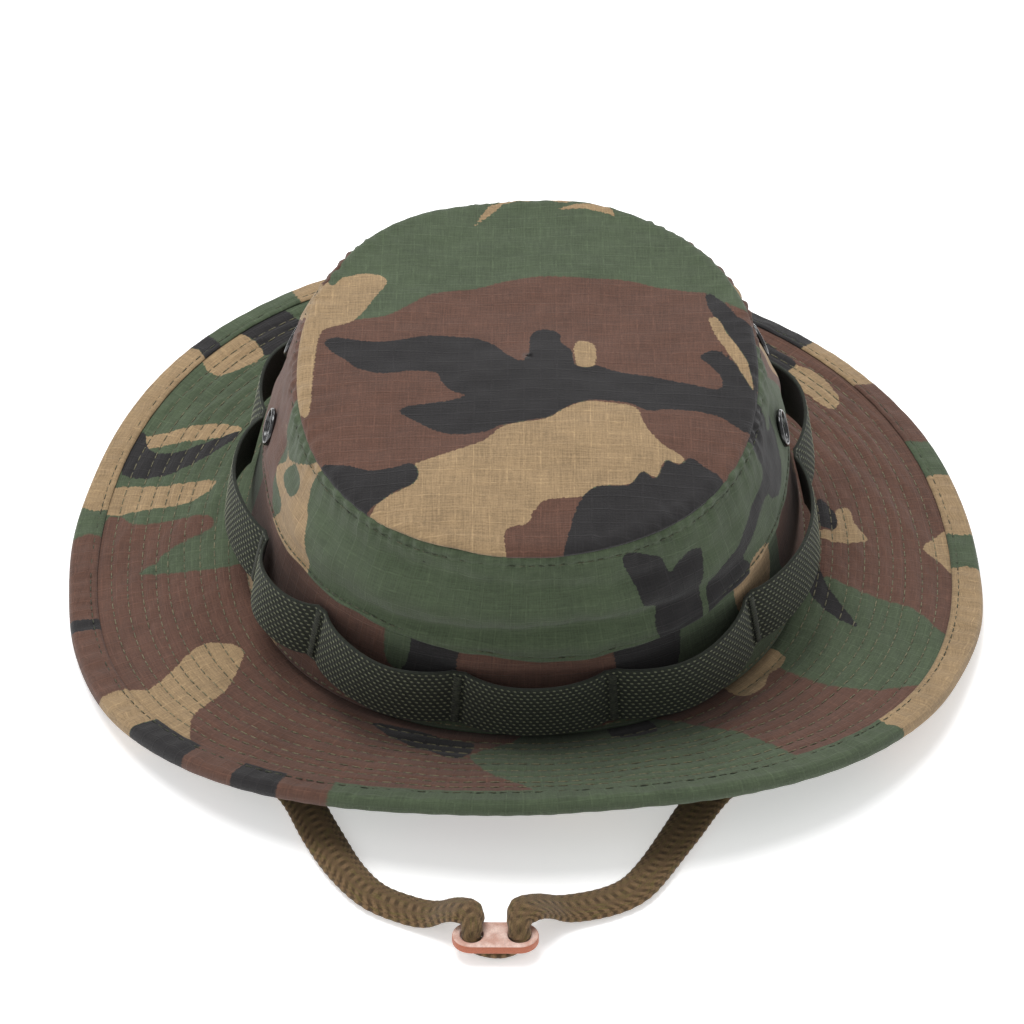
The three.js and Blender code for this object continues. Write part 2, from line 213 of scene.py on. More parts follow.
def brim_slope(angle):
    return np.radians(
        2.3 + 6.4 * np.cos(angle) + 13.6 * np.cos(2 * angle) - 0.3 * np.cos(3 * angle)
        - 0.5 * np.cos(4 * angle) - 0.5 * np.sin(angle) + 3.3 * np.sin(2 * angle)
        - 1.2 * np.sin(3 * angle) + 0.5 * np.sin(4 * angle)
    )


def binding_turn(angle):
    return np.radians(-4.5 + 10.8 * np.cos(angle) - 8.1 * np.cos(2 * angle))


def tilted(angle, slope):
    return outward(angle) * np.cos(slope)[..., None] + UP * np.sin(slope)[..., None]


def brim_point(angle, distance, lift):
    angle, distance, lift = np.broadcast_arrays(angle, distance, lift)
    flat = BRIM_WIDTH - BINDING_WIDTH
    slope = brim_slope(angle)
    edge_slope = slope + binding_turn(angle)
    turned = np.clip((distance - flat + 1.5) / 3, 0, 1)
    normal_slope = slope + binding_turn(angle) * turned + np.pi / 2
    return (
        band_point(angle)
        + tilted(angle, slope) * np.minimum(distance, flat)[..., None]
        + tilted(angle, edge_slope) * np.maximum(distance - flat, 0)[..., None]
        + tilted(angle, normal_slope) * lift[..., None]
    )


def brim_normal(angle):
    return tilted(angle, brim_slope(angle) + np.pi / 2)


# Small shapes that repeat.

def bump(value, centre, width):
    return np.exp(-(((value - centre) / width) ** 2))


def ripple(u, v, size, seed):
    """Smooth unevenness about zero, with waves of about the given size in millimetres."""
    rng = np.random.default_rng(seed)
    total = 0
    for _ in range(10):
        turn = rng.uniform(0, 2 * np.pi)
        wave = 2 * np.pi / (size * rng.uniform(0.7, 1.7))
        phase = rng.uniform(0, 2 * np.pi)
        total = total + np.sin(wave * (u * np.cos(turn) + v * np.sin(turn)) + phase) / 3
    return total


def ring_angles(count):
    """Angles all the way round, from the back seam."""
    return -np.pi + 2 * np.pi * np.arange(count) / count


def grid_quads(rows, columns, closed_rows, closed_columns):
    i, j = np.meshgrid(
        np.arange(rows if closed_rows else rows - 1),
        np.arange(columns if closed_columns else columns - 1),
        indexing="ij",
    )
    near, far = i * columns, (i + 1) % rows * columns
    step = (j + 1) % columns
    return np.stack([near + j, near + step, far + step, far + j], axis=-1).reshape(-1, 4)


def tube_faces(rows, columns):
    """Faces of a tube made of closed rows of points, with both its ends."""
    first = np.arange(columns)[None]
    return [grid_quads(rows, columns, False, True), first[:, ::-1], first + (rows - 1) * columns]


def volume_of(points, faces):
    total = 0.0
    for polygon in faces:
        block = np.atleast_2d(polygon)
        for k in range(1, block.shape[1] - 1):
            a, b, c = points[block[:, 0]], points[block[:, k]], points[block[:, k + 1]]
            total += np.einsum("ij,ij->", a, np.cross(b, c))
    return total


def make_piece(name, points, faces, material, replaces=(), slot=None, body="hat", **fields):
    """One mesh from points in millimetres and blocks of faces, turned to face out."""
    points = np.asarray(points, dtype=float).reshape(-1, 3)
    outward_faces = volume_of(points, faces) > 0
    listed = []
    for block in faces:
        block = np.atleast_2d(block)
        listed += (block if outward_faces else block[:, ::-1]).tolist()
    mesh = bpy.data.meshes.new(name)
    mesh.from_pydata((points * MM).tolist(), [], listed)
    mesh.shade_smooth()
    for key, values in fields.items():
        values = np.asarray(values, dtype=np.float32)
        kind, socket = ("FLOAT_VECTOR", "vector") if values.shape[-1:] == (3,) else ("FLOAT", "value")
        layer = mesh.attributes.new(key, kind, "POINT")
        layer.data.foreach_set(socket, values.ravel())
    mesh.materials.append(material)
    piece = add_object(name, mesh)
    if body:
        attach(piece, body)
    if replaces:
        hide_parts(*replaces)
    return piece


def capsules(centres, tangents, normals, half_lengths, radius, sides=6):
    """Short thread strokes lying on a surface, their ends sunk into it."""
    centres = np.asarray(centres, dtype=float)
    tangents = np.asarray(tangents, dtype=float)
    normals = np.asarray(normals, dtype=float)
    count = len(centres)
    half_lengths = np.broadcast_to(half_lengths, count)
    aside = np.cross(normals, tangents)
    turn = 2 * np.pi * np.arange(sides) / sides
    profile = [(-1.0, 0.0, -0.9), (-0.72, 1.0, 0.0), (0.72, 1.0, 0.0), (1.0, 0.0, -0.9)]
    local = [(profile[0][0], 0.0, profile[0][2])]
    for along, girth, rise in profile[1:3]:
        local += [(along, girth * math.cos(t), rise + girth * math.sin(t)) for t in turn]
    local.append((profile[3][0], 0.0, profile[3][2]))
    local = np.array(local)
    points = (
        centres[:, None]
        + tangents[:, None] * (local[:, 0] * half_lengths[:, None])[..., None]
        + aside[:, None] * (local[:, 1] * radius)[None, :, None]
        + normals[:, None] * (local[:, 2] * radius)[None, :, None]
    )
    k = np.arange(sides)
    after = (k + 1) % sides
    start = np.stack([0 * k, 1 + after, 1 + k], axis=-1)
    tube = np.stack([1 + k, 1 + after, 1 + sides + after, 1 + sides + k], axis=-1)
    end = np.stack([0 * k + 1 + 2 * sides, 1 + sides + k, 1 + sides + after], axis=-1)
    size = 2 + 2 * sides
    offset = (np.arange(count) * size)[:, None, None]
    faces = [(block[None] + offset).reshape(-1, block.shape[1]) for block in (start, tube, end)]
    return points.reshape(-1, 3), faces


def joined(parts):
    """Several sets of points and faces as one."""
    points = np.concatenate([p for p, _ in parts])
    offsets = np.cumsum([0] + [len(p) for p, _ in parts[:-1]])
    faces = [block + offset for (_, blocks), offset in zip(parts, offsets) for block in blocks]
    return points, faces


def stitches_along(curve, normals, pitch, length, radius):
    """A row of stitches on a closed curve of points."""
    curve = np.vstack([curve, curve[:1]])
    normals = np.vstack([normals, normals[:1]])
    way = np.concatenate([[0], np.cumsum(np.linalg.norm(np.diff(curve, axis=0), axis=1))])
    count = int(round(way[-1] / pitch))
    middle = (np.arange(count) + 0.5) * way[-1] / count

    def at(where, source):
        return np.stack([np.interp(where, way, source[:, k]) for k in range(3)], axis=-1)

    start, end = at(middle - length / 2, curve), at(middle + length / 2, curve)
    return capsules((start + end) / 2, unit(end - start), unit(at(middle, normals)), length / 2, radius)


def stitching(name, rows, thread):
    """Rows of stitches as one piece."""
    points, faces = joined(rows)
    make_piece(name, points, faces, thread, slot="thread")


# Camouflage: each colour is a field of distances in millimetres, above zero inside that colour. The ground
# is green. Outlines are in millimetres on the tip, and elsewhere in degrees round and millimetres up or out.
FIELD_REACH = 6.0
WALL_MM_PER_DEGREE = 1.65
BRIM_MM_PER_DEGREE = 2.1
COLOURS = ("brown", "tan", "black")


def smooth_outline(points, steps=4):
    """A closed Catmull-Rom curve through the points."""
    p = np.asarray(points, dtype=float)
    before, after, later = np.roll(p, 1, axis=0), np.roll(p, -1, axis=0), np.roll(p, -2, axis=0)
    curves = []
    for t in np.arange(steps) / steps:
        curves.append(0.5 * (
            2 * p + (after - before) * t + (2 * before - 5 * p + 4 * after - later) * t ** 2
            + (3 * p - before - 3 * after + later) * t ** 3
        ))
    return np.stack(curves, axis=1).reshape(-1, 2)


def signed_distance(x, y, outline):
    inside = np.zeros(x.shape, dtype=bool)
    nearest = np.full(x.shape, 1e9)
    for (ax, ay), (bx, by) in zip(outline, np.roll(outline, -1, axis=0)):
        dx, dy = bx - ax, by - ay
        t = np.clip(((x - ax) * dx + (y - ay) * dy) / max(dx * dx + dy * dy, 1e-9), 0, 1)
        nearest = np.minimum(nearest, (x - ax - t * dx) ** 2 + (y - ay - t * dy) ** 2)
        if ay != by:
            inside ^= ((ay > y) != (by > y)) & (x < ax + (y - ay) * dx / dy)
    return np.where(inside, 1, -1) * np.sqrt(nearest)


def painted(x, y, shapes, x_scale=1.0):
    """The colour fields at flat places x, y, from shapes laid over each other in order."""
    x, y = (np.ravel(v) for v in np.broadcast_arrays(x, y))
    fields = {colour: np.full(x.shape, -FIELD_REACH) for colour in COLOURS}
    for colour, points in shapes:
        outline = smooth_outline(points)
        low, high = outline.min(axis=0), outline.max(axis=0)
        reach_x = FIELD_REACH / x_scale
        near = (x > low[0] - reach_x) & (x < high[0] + reach_x)
        near &= (y > low[1] - FIELD_REACH) & (y < high[1] + FIELD_REACH)
        inside = np.full(x.shape, -FIELD_REACH)
        scaled = outline * (x_scale, 1)
        inside[near] = signed_distance(x[near] * x_scale, y[near], scaled)
        inside = np.clip(inside, -FIELD_REACH, FIELD_REACH)
        for key in COLOURS:
            if key == colour:
                fields[key] = np.maximum(fields[key], inside)
            else:
                fields[key] = np.minimum(fields[key], -inside)
    return fields


def blob(rng, x, y, half_x, half_y):
    """A lobed patch for cloth that the front view doesn't show."""
    turn = rng.uniform(-0.5, 0.5)
    phases = rng.uniform(0, 2 * np.pi, 3)
    outline = []
    for t in np.linspace(0, 2 * np.pi, 14, endpoint=False):
        reach = 1 + 0.28 * math.sin(2 * t + phases[0]) + 0.2 * math.sin(3 * t + phases[1])
        reach += 0.12 * math.sin(5 * t + phases[2])
        dx, dy = half_x * reach * math.cos(t), half_y * reach * math.sin(t)
        outline.append((
            x + dx * math.cos(turn) - dy * math.sin(turn) * 0.6,
            y + dy * math.cos(turn) + dx * 0.2,
        ))
    return outline


def scattered(seed, x_range, y_range, count, half_x, half_y):
    """Patches of every colour spread over a stretch of cloth, the same each time."""
    rng = np.random.default_rng(seed)
    order = ("brown", "tan", "black", "green")
    made = []
    for i in range(count):
        x = x_range[0] + (i + rng.uniform(0.2, 0.8)) * (x_range[1] - x_range[0]) / count
        grow = 0.7 if order[i % 4] in ("tan", "black") else 1.15
        made.append((order[i % 4], blob(rng, x, rng.uniform(*y_range), half_x * grow, half_y * grow)))
    return made


TIP_SHAPES = (
    ("brown", [(-95, -10), (-66, 3), (-60, 5), (-44, 8), (-30, 20), (-17, 23), (-7, 27), (5, 29),
               (20, 28.5), (33, 28), (43, 25), (53, 22), (60, 20.5), (70, 11), (95, 0), (95, -110),
               (-95, -110)]),
    ("tan", [(-76, 31), (-66, 31), (-63, 26), (-60, 30), (-54, 32.5), (-47, 31), (-45, 27), (-48, 20),
             (-52, 11), (-56, 5), (-63, 3), (-66, -2), (-67, -20), (-67.5, -39), (-71, -36), (-76, -10)]),
    ("tan", [(-17, 58), (-14, 65), (-11, 70), (-8, 76), (0, 77), (3, 72), (-3, 71), (-7, 70), (-11, 65)]),
    ("tan", [(10, 66), (18, 69), (27, 68), (30, 63), (25, 65), (18, 66.5)]),
    ("tan", [(8, 73), (17, 73), (13, 69.5)]),
    ("black", [(-64, -4.5), (-61, -2.5), (-50, -5.5), (-40, -4.5), (-30, -1.5), (-18, -2), (-10, -6),
               (-5, -13), (-1, -16.5), (1.5, -12), (2, -2), (6, 1.5), (11, -0.5), (12, -6), (15, -10.5),
               (16.5, -18.5), (23, -17.5), (31, -20.5), (43, -23), (53, -26), (61.5, -28), (62.5, -22),
               (59, -16), (56, -12), (61.5, -9), (67, -15), (72.5, -25), (80, -40), (70, -46), (66, -44),
               (60, -40), (46, -39), (39, -40.5), (33, -37), (23, -36), (16.5, -38), (11.5, -41),
               (6.5, -45), (-7, -48), (-12, -50.5), (-23, -51), (-30, -48), (-34, -44.5), (-39, -40.5),
               (-36.5, -37.5), (-25, -35.5), (-18.5, -33), (-23, -30.5), (-26, -26), (-28, -21),
               (-35, -20.5), (-43.5, -22), (-52, -19.5), (-58, -13.5), (-62.5, -8)]),
    ("black", [(59, 21.5), (62.5, 19.5), (69, 8), (79, -2), (79, -15), (76, -28), (71, -22), (68, -15),
               (65, -8.5), (63, 1.5), (61.5, 7), (59.5, 14)]),
    ("tan", [(59.5, 7), (62.5, 7), (65, 0), (69, -8.5), (71.5, -16), (72.5, -27), (70, -22), (66.5, -13),
             (61.5, -2)]),
    ("tan", [(16, -7), (18.5, -4.5), (22, -6), (23, -11), (22, -18), (17, -18.5), (16, -13)]),
    ("tan", [(-44, -78.5), (-38, -75.5), (-33, -71), (-35, -65.5), (-25, -60.5), (-13, -55.5),
             (-6.5, -48.5), (6.5, -45.5), (12.5, -40.5), (20, -37), (27, -37), (35, -39), (37.5, -47),
             (42, -54.5), (49, -59.5), (48, -63), (43, -63), (41, -69.5), (37, -68), (32.5, -73),
             (24, -74), (18, -78), (8, -79), (3, -83.5), (1, -88.5), (-6, -92), (-3, -110), (-35, -110),
             (-50, -90), (-46, -82)]),
    ("brown", [(8, -79), (18, -79), (16, -83), (15, -89), (13, -106), (-2, -106), (-6, -93.5), (-2, -90),
               (2.5, -87), (4, -82)]),
    ("black", [(13, -108), (14.5, -88.5), (18, -78.5), (23, -74), (32, -73.5), (36.5, -67.5), (40.5, -70),
               (44, -62), (48, -63.5), (51.5, -60), (56.5, -63.5), (62, -69.5), (56, -84), (38, -100)]),
    ("black", [(-66, -63.5), (-55, -63.5), (-48, -66), (-40, -65.5), (-35, -64), (-32.5, -68.5),
               (-34, -73), (-40, -76), (-46.5, -81), (-56, -86)]),
)

WALL_SHAPES = (
    ("brown", [(-185, 20), (-170, 34), (-150, 60), (-122, 92), (-84, 92), (-79, 80), (-74, 62), (-72, 52),
               (-66, 44), (-66, 30), (-100, 24)]),
    ("tan", [(-81, 75), (-72, 71), (-66, 76), (-60, 84), (-58, 92), (-55.5, 92), (-58, 78), (-57, 70),
             (-55, 66), (-53, 58), (-51, 50), (-50, 38), (-69, 38), (-66, 55), (-67, 58), (-74, 62),
             (-72, 70)]),
    ("green", [(-70, 65), (-67, 74), (-62, 72), (-63, 65)]),
    ("black", [(22, 76), (24, 79), (28, 76), (31, 73), (32.5, 66), (35, 68), (38, 71), (41, 69), (40, 62),
               (39, 55), (38, 46), (36, 36), (30, 36), (27, 46), (28, 54), (25, 58), (24, 66)]),
    ("black", [(39, 36), (40, 50), (43, 56), (50, 60), (58, 66), (67.5, 69.5), (66.5, 81), (66.5, 94),
               (77, 94), (79, 72), (86, 69.5), (77, 56), (73, 53.5), (67.5, 58), (66.5, 61.5),
               (62.5, 61.5), (54, 55), (52, 52.5), (53, 46), (46, 36)]),
    ("tan", [(52, 40), (53, 48), (60, 48), (63, 40)]),
    ("tan", [(-143, 42), (-139, 60), (-132, 74), (-122, 82), (-112, 92), (-104, 92), (-112, 76),
             (-124, 64), (-128, 50), (-128, 40)]),
    ("brown", [(97, 36), (101, 60), (96, 78), (104, 94), (131, 94), (137, 70), (130, 56), (133, 36)]),
    ("tan", [(104, 60), (108, 72), (114, 88), (118, 84), (113, 68), (109, 56)]),
    *scattered(31, (134, 180), (42, 80), 5, 11, 13),
    *scattered(32, (-178, -140), (42, 80), 4, 10, 13),
)

LOWER_BAND_SHAPES = (
    ("brown", [(-185, -4), (-185, 60), (-26, 60), (-24, 30), (-28, 12), (-34, -4)]),
    ("tan", [(-80, -6), (-76, 10), (-62, 15), (-56, 8), (-60, -6)]),
    ("green", [(-108, 4), (-104, 36), (-92, 52), (-84, 40), (-90, 10)]),
    ("black", [(-25, 22), (-25, 60), (-11, 60), (-10, 22)]),
    ("brown", [(-10, 10), (-10, 60), (22, 60), (22, 10)]),
    ("black", [(20, 20), (19, 60), (32, 60), (31, 24)]),
    ("green", [(-29, 30), (-30, 60), (-25, 60), (-24, 30)]),
    ("tan", [(48, 30), (50, 60), (62, 60), (60, 32)]),
    ("brown", [(80, 0), (78, 60), (185, 60), (185, 0)]),
    *scattered(41, (84, 178), (6, 44), 8, 10, 12),
)

BRIM_SHAPES = (
    ("black", [(-144, 34), (-144, 50), (-136, 50), (-137, 34)]),
    ("tan", [(-137, 34), (-137, 50), (-131, 50), (-130, 38)]),
    ("tan", [(-115, 48), (-113, 43), (-116, 30), (-119, 17), (-122, 14), (-121, 25), (-117, 38)]),
    ("black", [(-116, 48), (-108, 48), (-108, 33), (-112, 22), (-118, 14), (-121, 14), (-117, 22),
               (-113, 33), (-113, 42)]),
    ("tan", [(-105, 49), (-100, 49), (-101, 30), (-103, 17), (-108, 12), (-106, 30)]),
    ("brown", [(-96, 50), (-97, 36), (-98, 20), (-98, 11), (-95, 10), (-92, 20), (-88, 28), (-84, 20),
               (-83, -8), (-5, -8), (-9, 15), (-5, 32), (-2, 50), (-50, 62)]),
    ("green", [(-90, 8), (-89, 22), (-86, 35), (-84, 20), (-82.5, 3), (-83, -8), (-91, -8)]),
    ("tan", [(-60, 50), (-46, 50), (-50, 38), (-52, 22), (-57, 10), (-60, 8), (-64, 15), (-64, 22),
             (-61, 32), (-59, 42)]),
    ("black", [(-28, 3), (-24, 8), (-17, 14), (-11, 18), (-9, 14), (-9, 5), (-14, 3), (-22, 1)]),
    ("black", [(17, -6), (17, 5), (24, 6), (24, -6)]),
    ("brown", [(39, 56), (36, 35), (34, 20), (30, 5), (27, -8), (52, -8), (52, 8), (53, 25), (56, 38),
               (61, 56)]),
    ("tan", [(43, -6), (42, 5), (46, 7), (50, 4), (53, 5), (56, 3), (55, -6)]),
    ("brown", [(77, 56), (78, 35), (79, 18), (81, 6), (83, -8), (186, -8), (186, 62), (130, 66)]),
    ("black", [(69.5, 20), (73, 14), (78, 7), (83, 3), (84, 0), (76, 0.5), (72, 6), (70, 13)]),
    ("tan", [(87.5, 50), (97, 50), (94, 41), (92, 39.5), (90, 44)]),
    ("tan", [(91, 10), (93, 20), (97, 16), (101, 15), (100, 10), (95, 9), (94, 3), (92, 3)]),
    ("black", [(95, 9), (100, 9), (103, 4), (96, 3)]),
    *scattered(51, (118, 178), (6, 42), 6, 10, 15),
    *scattered(52, (-178, -146), (8, 40), 4, 8, 14),
)

UNDERSIDE_SHAPES = tuple(scattered(61, (-180, 180), (4, 44), 26, 10, 15))

# Along the bound edge: from and to, in degrees, and the colour between.
BINDING_STRETCHES = (
    (-178, -160, "brown"), (-152, -147, "tan"), (-133, -128, "black"), (-128, -103, "tan"),
    (-92, -60, "brown"), (-77, -75, "black"), (-60, -52, "tan"), (-51, -43, "black"),
    (-43, -36, "brown"), (-36, -30, "black"),
    (-30, -25, "brown"), (53, 85, "tan"), (97, 107, "tan"),
    (118, 130, "brown"), (130, 139, "tan"), (139, 148, "black"), (158, 172, "brown"),
)


def stretch_fields(x, y, stretches, low, high):
    shapes = []
    for start, end, colour in stretches:
        lean = 1.5 * math.sin(start)
        shapes.append((colour, [(start, low), (start + lean, high), (end + lean, high), (end, low)]))
    return painted(x, y, shapes, BRIM_MM_PER_DEGREE)


# Materials.

def srgb(red, green, blue):
    def linear(value):
        value /= 255
        return value / 12.92 if value <= 0.04045 else ((value + 0.055) / 1.055) ** 2.4
    return (linear(red), linear(green), linear(blue), 1)


GREEN = srgb(70, 82, 60)
BROWN = srgb(90, 62, 50)
TAN = srgb(150, 126, 94)
BLACK = srgb(33, 31, 32)


class Finish:
    """A material's node tree, with short ways to add to it."""

    def __init__(self, name, roughness, **shader):
        self.material = bpy.data.materials.new(name)
        self.material.use_nodes = True
        self.tree = self.material.node_tree
        self.tree.nodes.clear()
        output = self.tree.nodes.new("ShaderNodeOutputMaterial")
        self.shader = self.tree.nodes.new("ShaderNodeBsdfPrincipled")
        self.shader.inputs["Roughness"].default_value = roughness
        for key, value in shader.items():
            self.shader.inputs[key.replace("_", " ")].default_value = value
        self.tree.links.new(self.shader.outputs[0], output.inputs[0])

    def put(self, kind, inputs, **settings):
        node = self.tree.nodes.new("ShaderNode" + kind)
        for key, value in settings.items():
            setattr(node, key, value)
        for key, value in inputs.items():
            if isinstance(value, bpy.types.NodeSocket):
                self.tree.links.new(value, node.inputs[key])
            else:
                node.inputs[key].default_value = value
        return node

    def calc(self, operation, a, b=0.0):
        return self.put("Math", {0: a, 1: b}, operation=operation).outputs[0]

    def field(self, name):
        return self.put("Attribute", {}, attribute_name=name)

    def noise(self, vector, scale, stretch=(1, 1, 1), detail=2.0):
        moved = self.put("VectorMath", {0: vector, 1: stretch}, operation="MULTIPLY").outputs[0]
        return self.put("TexNoise", {"Vector": moved, "Scale": scale, "Detail": detail}).outputs[0]

    def ramp(self, value, low, high, out_low=0.0, out_high=1.0):
        inputs = {"Value": value, "From Min": low, "From Max": high, "To Min": out_low, "To Max": out_high}
        return self.put("MapRange", inputs, interpolation_type="SMOOTHSTEP").outputs[0]

    def mix(self, factor, a, b):
        return self.put("Mix", {0: factor, 6: a, 7: b}, data_type="RGBA").outputs[2]

    def brighten(self, colour, value):
        return self.put("HueSaturation", {"Color": colour, "Value": value}).outputs[0]

    def colour(self, socket):
        self.tree.links.new(socket, self.shader.inputs["Base Color"])

    def bumps(self, height, distance, strength=1.0):
        node = self.put("Bump", {"Height": height, "Distance": distance * MM, "Strength": strength})
        self.tree.links.new(node.outputs[0], self.shader.inputs["Normal"])


def lines(finish, coordinate, pitch, width):
    """One where the coordinate is on a line of a grid, and zero away from it."""
    away = finish.calc("PINGPONG", coordinate, pitch / 2)
    return finish.ramp(away, width, width * 0.35)


def cloth_finish(name, camouflage=True, plain=GREEN, fade=1.0):
    """Ripstop cotton: a fine weave with slubs, and a grid of thicker threads."""
    finish = Finish(name, 0.88, Sheen_Weight=0.12, Sheen_Roughness=0.6, Specular_IOR_Level=0.25)
    weave = finish.field("weave").outputs["Vector"]
    u, v, _ = finish.put("SeparateXYZ", {0: weave}).outputs
    colour = plain
    if camouflage:
        wobble = finish.ramp(finish.noise(weave, 0.9, detail=3.0), 0.2, 0.8, -0.35, 0.35)
        for key, shade, softness in (("brown", BROWN, 0.8), ("tan", TAN, 0.3), ("black", BLACK, 0.3)):
            place = finish.calc("ADD", finish.field(key).outputs["Fac"], wobble)
            start = -softness - 0.2 if key == "brown" else -softness / 2
            colour = finish.mix(finish.ramp(place, start, start + softness), colour, shade)
    slub_u = finish.noise(weave, 1.0, (0.12, 2.2, 1), 3.0)
    slub_v = finish.noise(weave, 1.0, (2.2, 0.12, 1), 3.0)
    blotch = finish.noise(weave, 0.05, detail=2.0)
    grain = finish.noise(weave, 1.6, detail=4.0)
    slubs = finish.ramp(slub_u, 0.3, 0.7, -0.13, 0.13)
    for unevenness, most in ((slub_v, 0.13), (grain, 0.1), (blotch, 0.07)):
        slubs = finish.calc("ADD", slubs, finish.ramp(unevenness, 0.3, 0.7, -most, most))
    ribs = [lines(finish, way, RIPSTOP_PITCH, 0.34) for way in (u, v)]
    grid = finish.calc("MAXIMUM", *ribs)
    broken = finish.ramp(finish.noise(weave, 0.35, detail=2.0), 0.4, 0.66, 0.03, 0.3)
    value = finish.calc("ADD", slubs, finish.calc("MULTIPLY", grid, broken))
    # A fade below one darkens the whole cloth as painted shade.
    finish.colour(finish.brighten(colour, finish.calc("MULTIPLY", finish.calc("ADD", value, 1.0), fade)))
    yarns = [finish.calc("SINE", finish.calc("MULTIPLY", way, 14.0)) for way in (u, v)]
    yarn = finish.calc("MULTIPLY", *yarns)
    height = finish.calc("ADD", finish.calc("MULTIPLY", yarn, 0.18), finish.calc("MULTIPLY", grid, 0.5))
    height = finish.calc("ADD", height, finish.calc("MULTIPLY", grain, 0.9))
    finish.bumps(finish.calc("ADD", height, slub_u), 0.16, 0.8)
    return finish.material


def webbing_finish():
    """Heavy woven webbing: dark green warp, with the lighter weft showing between."""
    finish = Finish("webbing", 0.72, Sheen_Weight=0.1, Specular_IOR_Level=0.35)
    weave = finish.field("weave").outputs["Vector"]
    relief = finish.field("relief").outputs["Fac"]
    dark = finish.mix(finish.noise(weave, 0.7), srgb(20, 24, 18), srgb(42, 48, 36))
    # Low relief gives the dark warp colour; on the inner face this is partly painted shade inside the loops.
    colour = finish.mix(finish.ramp(relief, 0.45, 0.85), dark, srgb(126, 130, 104))
    finish.colour(finish.brighten(colour, finish.ramp(finish.noise(weave, 2.4), 0.3, 0.7, 0.75, 1.25)))
    finish.bumps(finish.noise(weave, 5.0, (1, 3, 1), 3.0), 0.18, 0.7)
    return finish.material


def braid_finish():
    """The chin strap's flat cotton braid, with painted shade in its grooves and painted light on its ridges.
    """
    finish = Finish("strap_braid", 0.85, Sheen_Weight=0.15, Specular_IOR_Level=0.25)
    weave = finish.field("weave").outputs["Vector"]
    relief = finish.field("relief").outputs["Fac"]
    # Painted shade and light: the colour runs from dark in the braid's grooves to light on its raised yarns,
    # following the relief.
    colour = finish.mix(finish.ramp(relief, 0.1, 0.9), srgb(70, 53, 34), srgb(128, 102, 72))
    stain = finish.ramp(finish.noise(weave, 0.6, (0.4, 2, 1)), 0.45, 0.75)
    colour = finish.mix(stain, colour, srgb(104, 90, 52))
    finish.colour(finish.brighten(colour, finish.ramp(finish.noise(weave, 3.0), 0.3, 0.7, 0.75, 1.25)))
    finish.bumps(finish.noise(weave, 4.0, (1, 2, 1), 3.0), 0.22, 0.8)
    return finish.material


def thread_finish(name, dark, light):
    finish = Finish(name, 0.6, Sheen_Weight=0.1, Specular_IOR_Level=0.4)
    place = finish.put("TexCoord", {}).outputs["Object"]
    finish.colour(finish.mix(finish.ramp(finish.noise(place, 900.0), 0.35, 0.65), dark, light))
    inputs = {"Vector": place, "Scale": 2200.0, "Distortion": 1.5}
    twist = finish.put("TexWave", inputs, bands_direction="DIAGONAL")
    finish.bumps(twist.outputs[1], 0.06, 0.6)
    return finish.material


def metal_finish():
    """Black enamel on brass, slightly worn where it is handled."""
    finish = Finish("black_enamel", 0.22, Metallic=0.0, Coat_Weight=0.6, Coat_Roughness=0.12)
    place = finish.put("TexCoord", {}).outputs["Object"]
    worn = finish.ramp(finish.noise(place, 420.0, detail=4.0), 0.58, 0.72)
    finish.colour(finish.mix(worn, srgb(16, 16, 18), srgb(38, 36, 34)))
    finish.bumps(finish.noise(place, 1500.0, detail=3.0), 0.03, 0.5)
    return finish.material


def screen_finish():
    finish = Finish("screen_wire", 0.5, Metallic=0.6)
    place = finish.put("TexCoord", {}).outputs["Object"]
    finish.colour(finish.mix(finish.noise(place, 1200.0), srgb(20, 20, 22), srgb(52, 52, 54)))
    finish.bumps(finish.noise(place, 2500.0), 0.02, 0.5)
    return finish.material


def leather_finish():
    """Pale split leather, darker and glazed at its burnished rim and holes."""
    finish = Finish("keeper_leather", 0.5, Coat_Weight=0.12, Coat_Roughness=0.4, Specular_IOR_Level=0.4)
    place = finish.put("TexCoord", {}).outputs["Object"]
    face = finish.mix(finish.ramp(finish.noise(place, 260.0, detail=5.0), 0.35, 0.7), srgb(196, 152, 136),
                      srgb(228, 200, 188))
    grain = finish.put("TexVoronoi", {"Vector": place, "Scale": 2400.0}).outputs["Distance"]
    colour = finish.mix(finish.ramp(finish.field("rim").outputs["Fac"], 0.1, 0.9), face, srgb(172, 96, 66))
    finish.colour(finish.brighten(colour, finish.ramp(grain, 0.0, 0.6, 0.85, 1.1)))
    finish.bumps(finish.calc("ADD", grain, finish.noise(place, 900.0, detail=4.0)), 0.12, 0.7)
    return finish.material


def felt_finish(name, dark, light):
    """Plain non-woven or twill cloth of the hidden layers."""
    finish = Finish(name, 0.92, Sheen_Weight=0.1, Specular_IOR_Level=0.2)
    place = finish.put("TexCoord", {}).outputs["Object"]
    fibres = finish.noise(place, 1400.0, (1, 1, 0.3), 4.0)
    finish.colour(finish.mix(finish.ramp(fibres, 0.3, 0.7), dark, light))
    finish.bumps(fibres, 0.15, 0.7)
    return finish.material


CAMOUFLAGE = cloth_finish("camouflage_ripstop")
# The brim's underside: the same cloth painted 8% darker, as painted shade on the side facing the floor.
UNDERSIDE = cloth_finish("brim_underside", fade=0.92)
LINING = cloth_finish("lining_cloth", camouflage=False, plain=srgb(66, 82, 58))
WEBBING = webbing_finish()
BRAID = braid_finish()
THREAD = thread_finish("thread_olive", srgb(76, 74, 54), srgb(122, 116, 88))
SEAM_THREAD = thread_finish("thread_green", srgb(44, 50, 36), srgb(84, 86, 62))
DARK_THREAD = thread_finish("thread_dark", srgb(30, 34, 26), srgb(56, 60, 46))
ENAMEL = metal_finish()
SCREEN = screen_finish()
LEATHER = leather_finish()
TAPE = felt_finish("seam_tape", srgb(28, 28, 28), srgb(52, 50, 48))
INTERLINING = felt_finish("interlining", srgb(168, 160, 138), srgb(196, 188, 166))


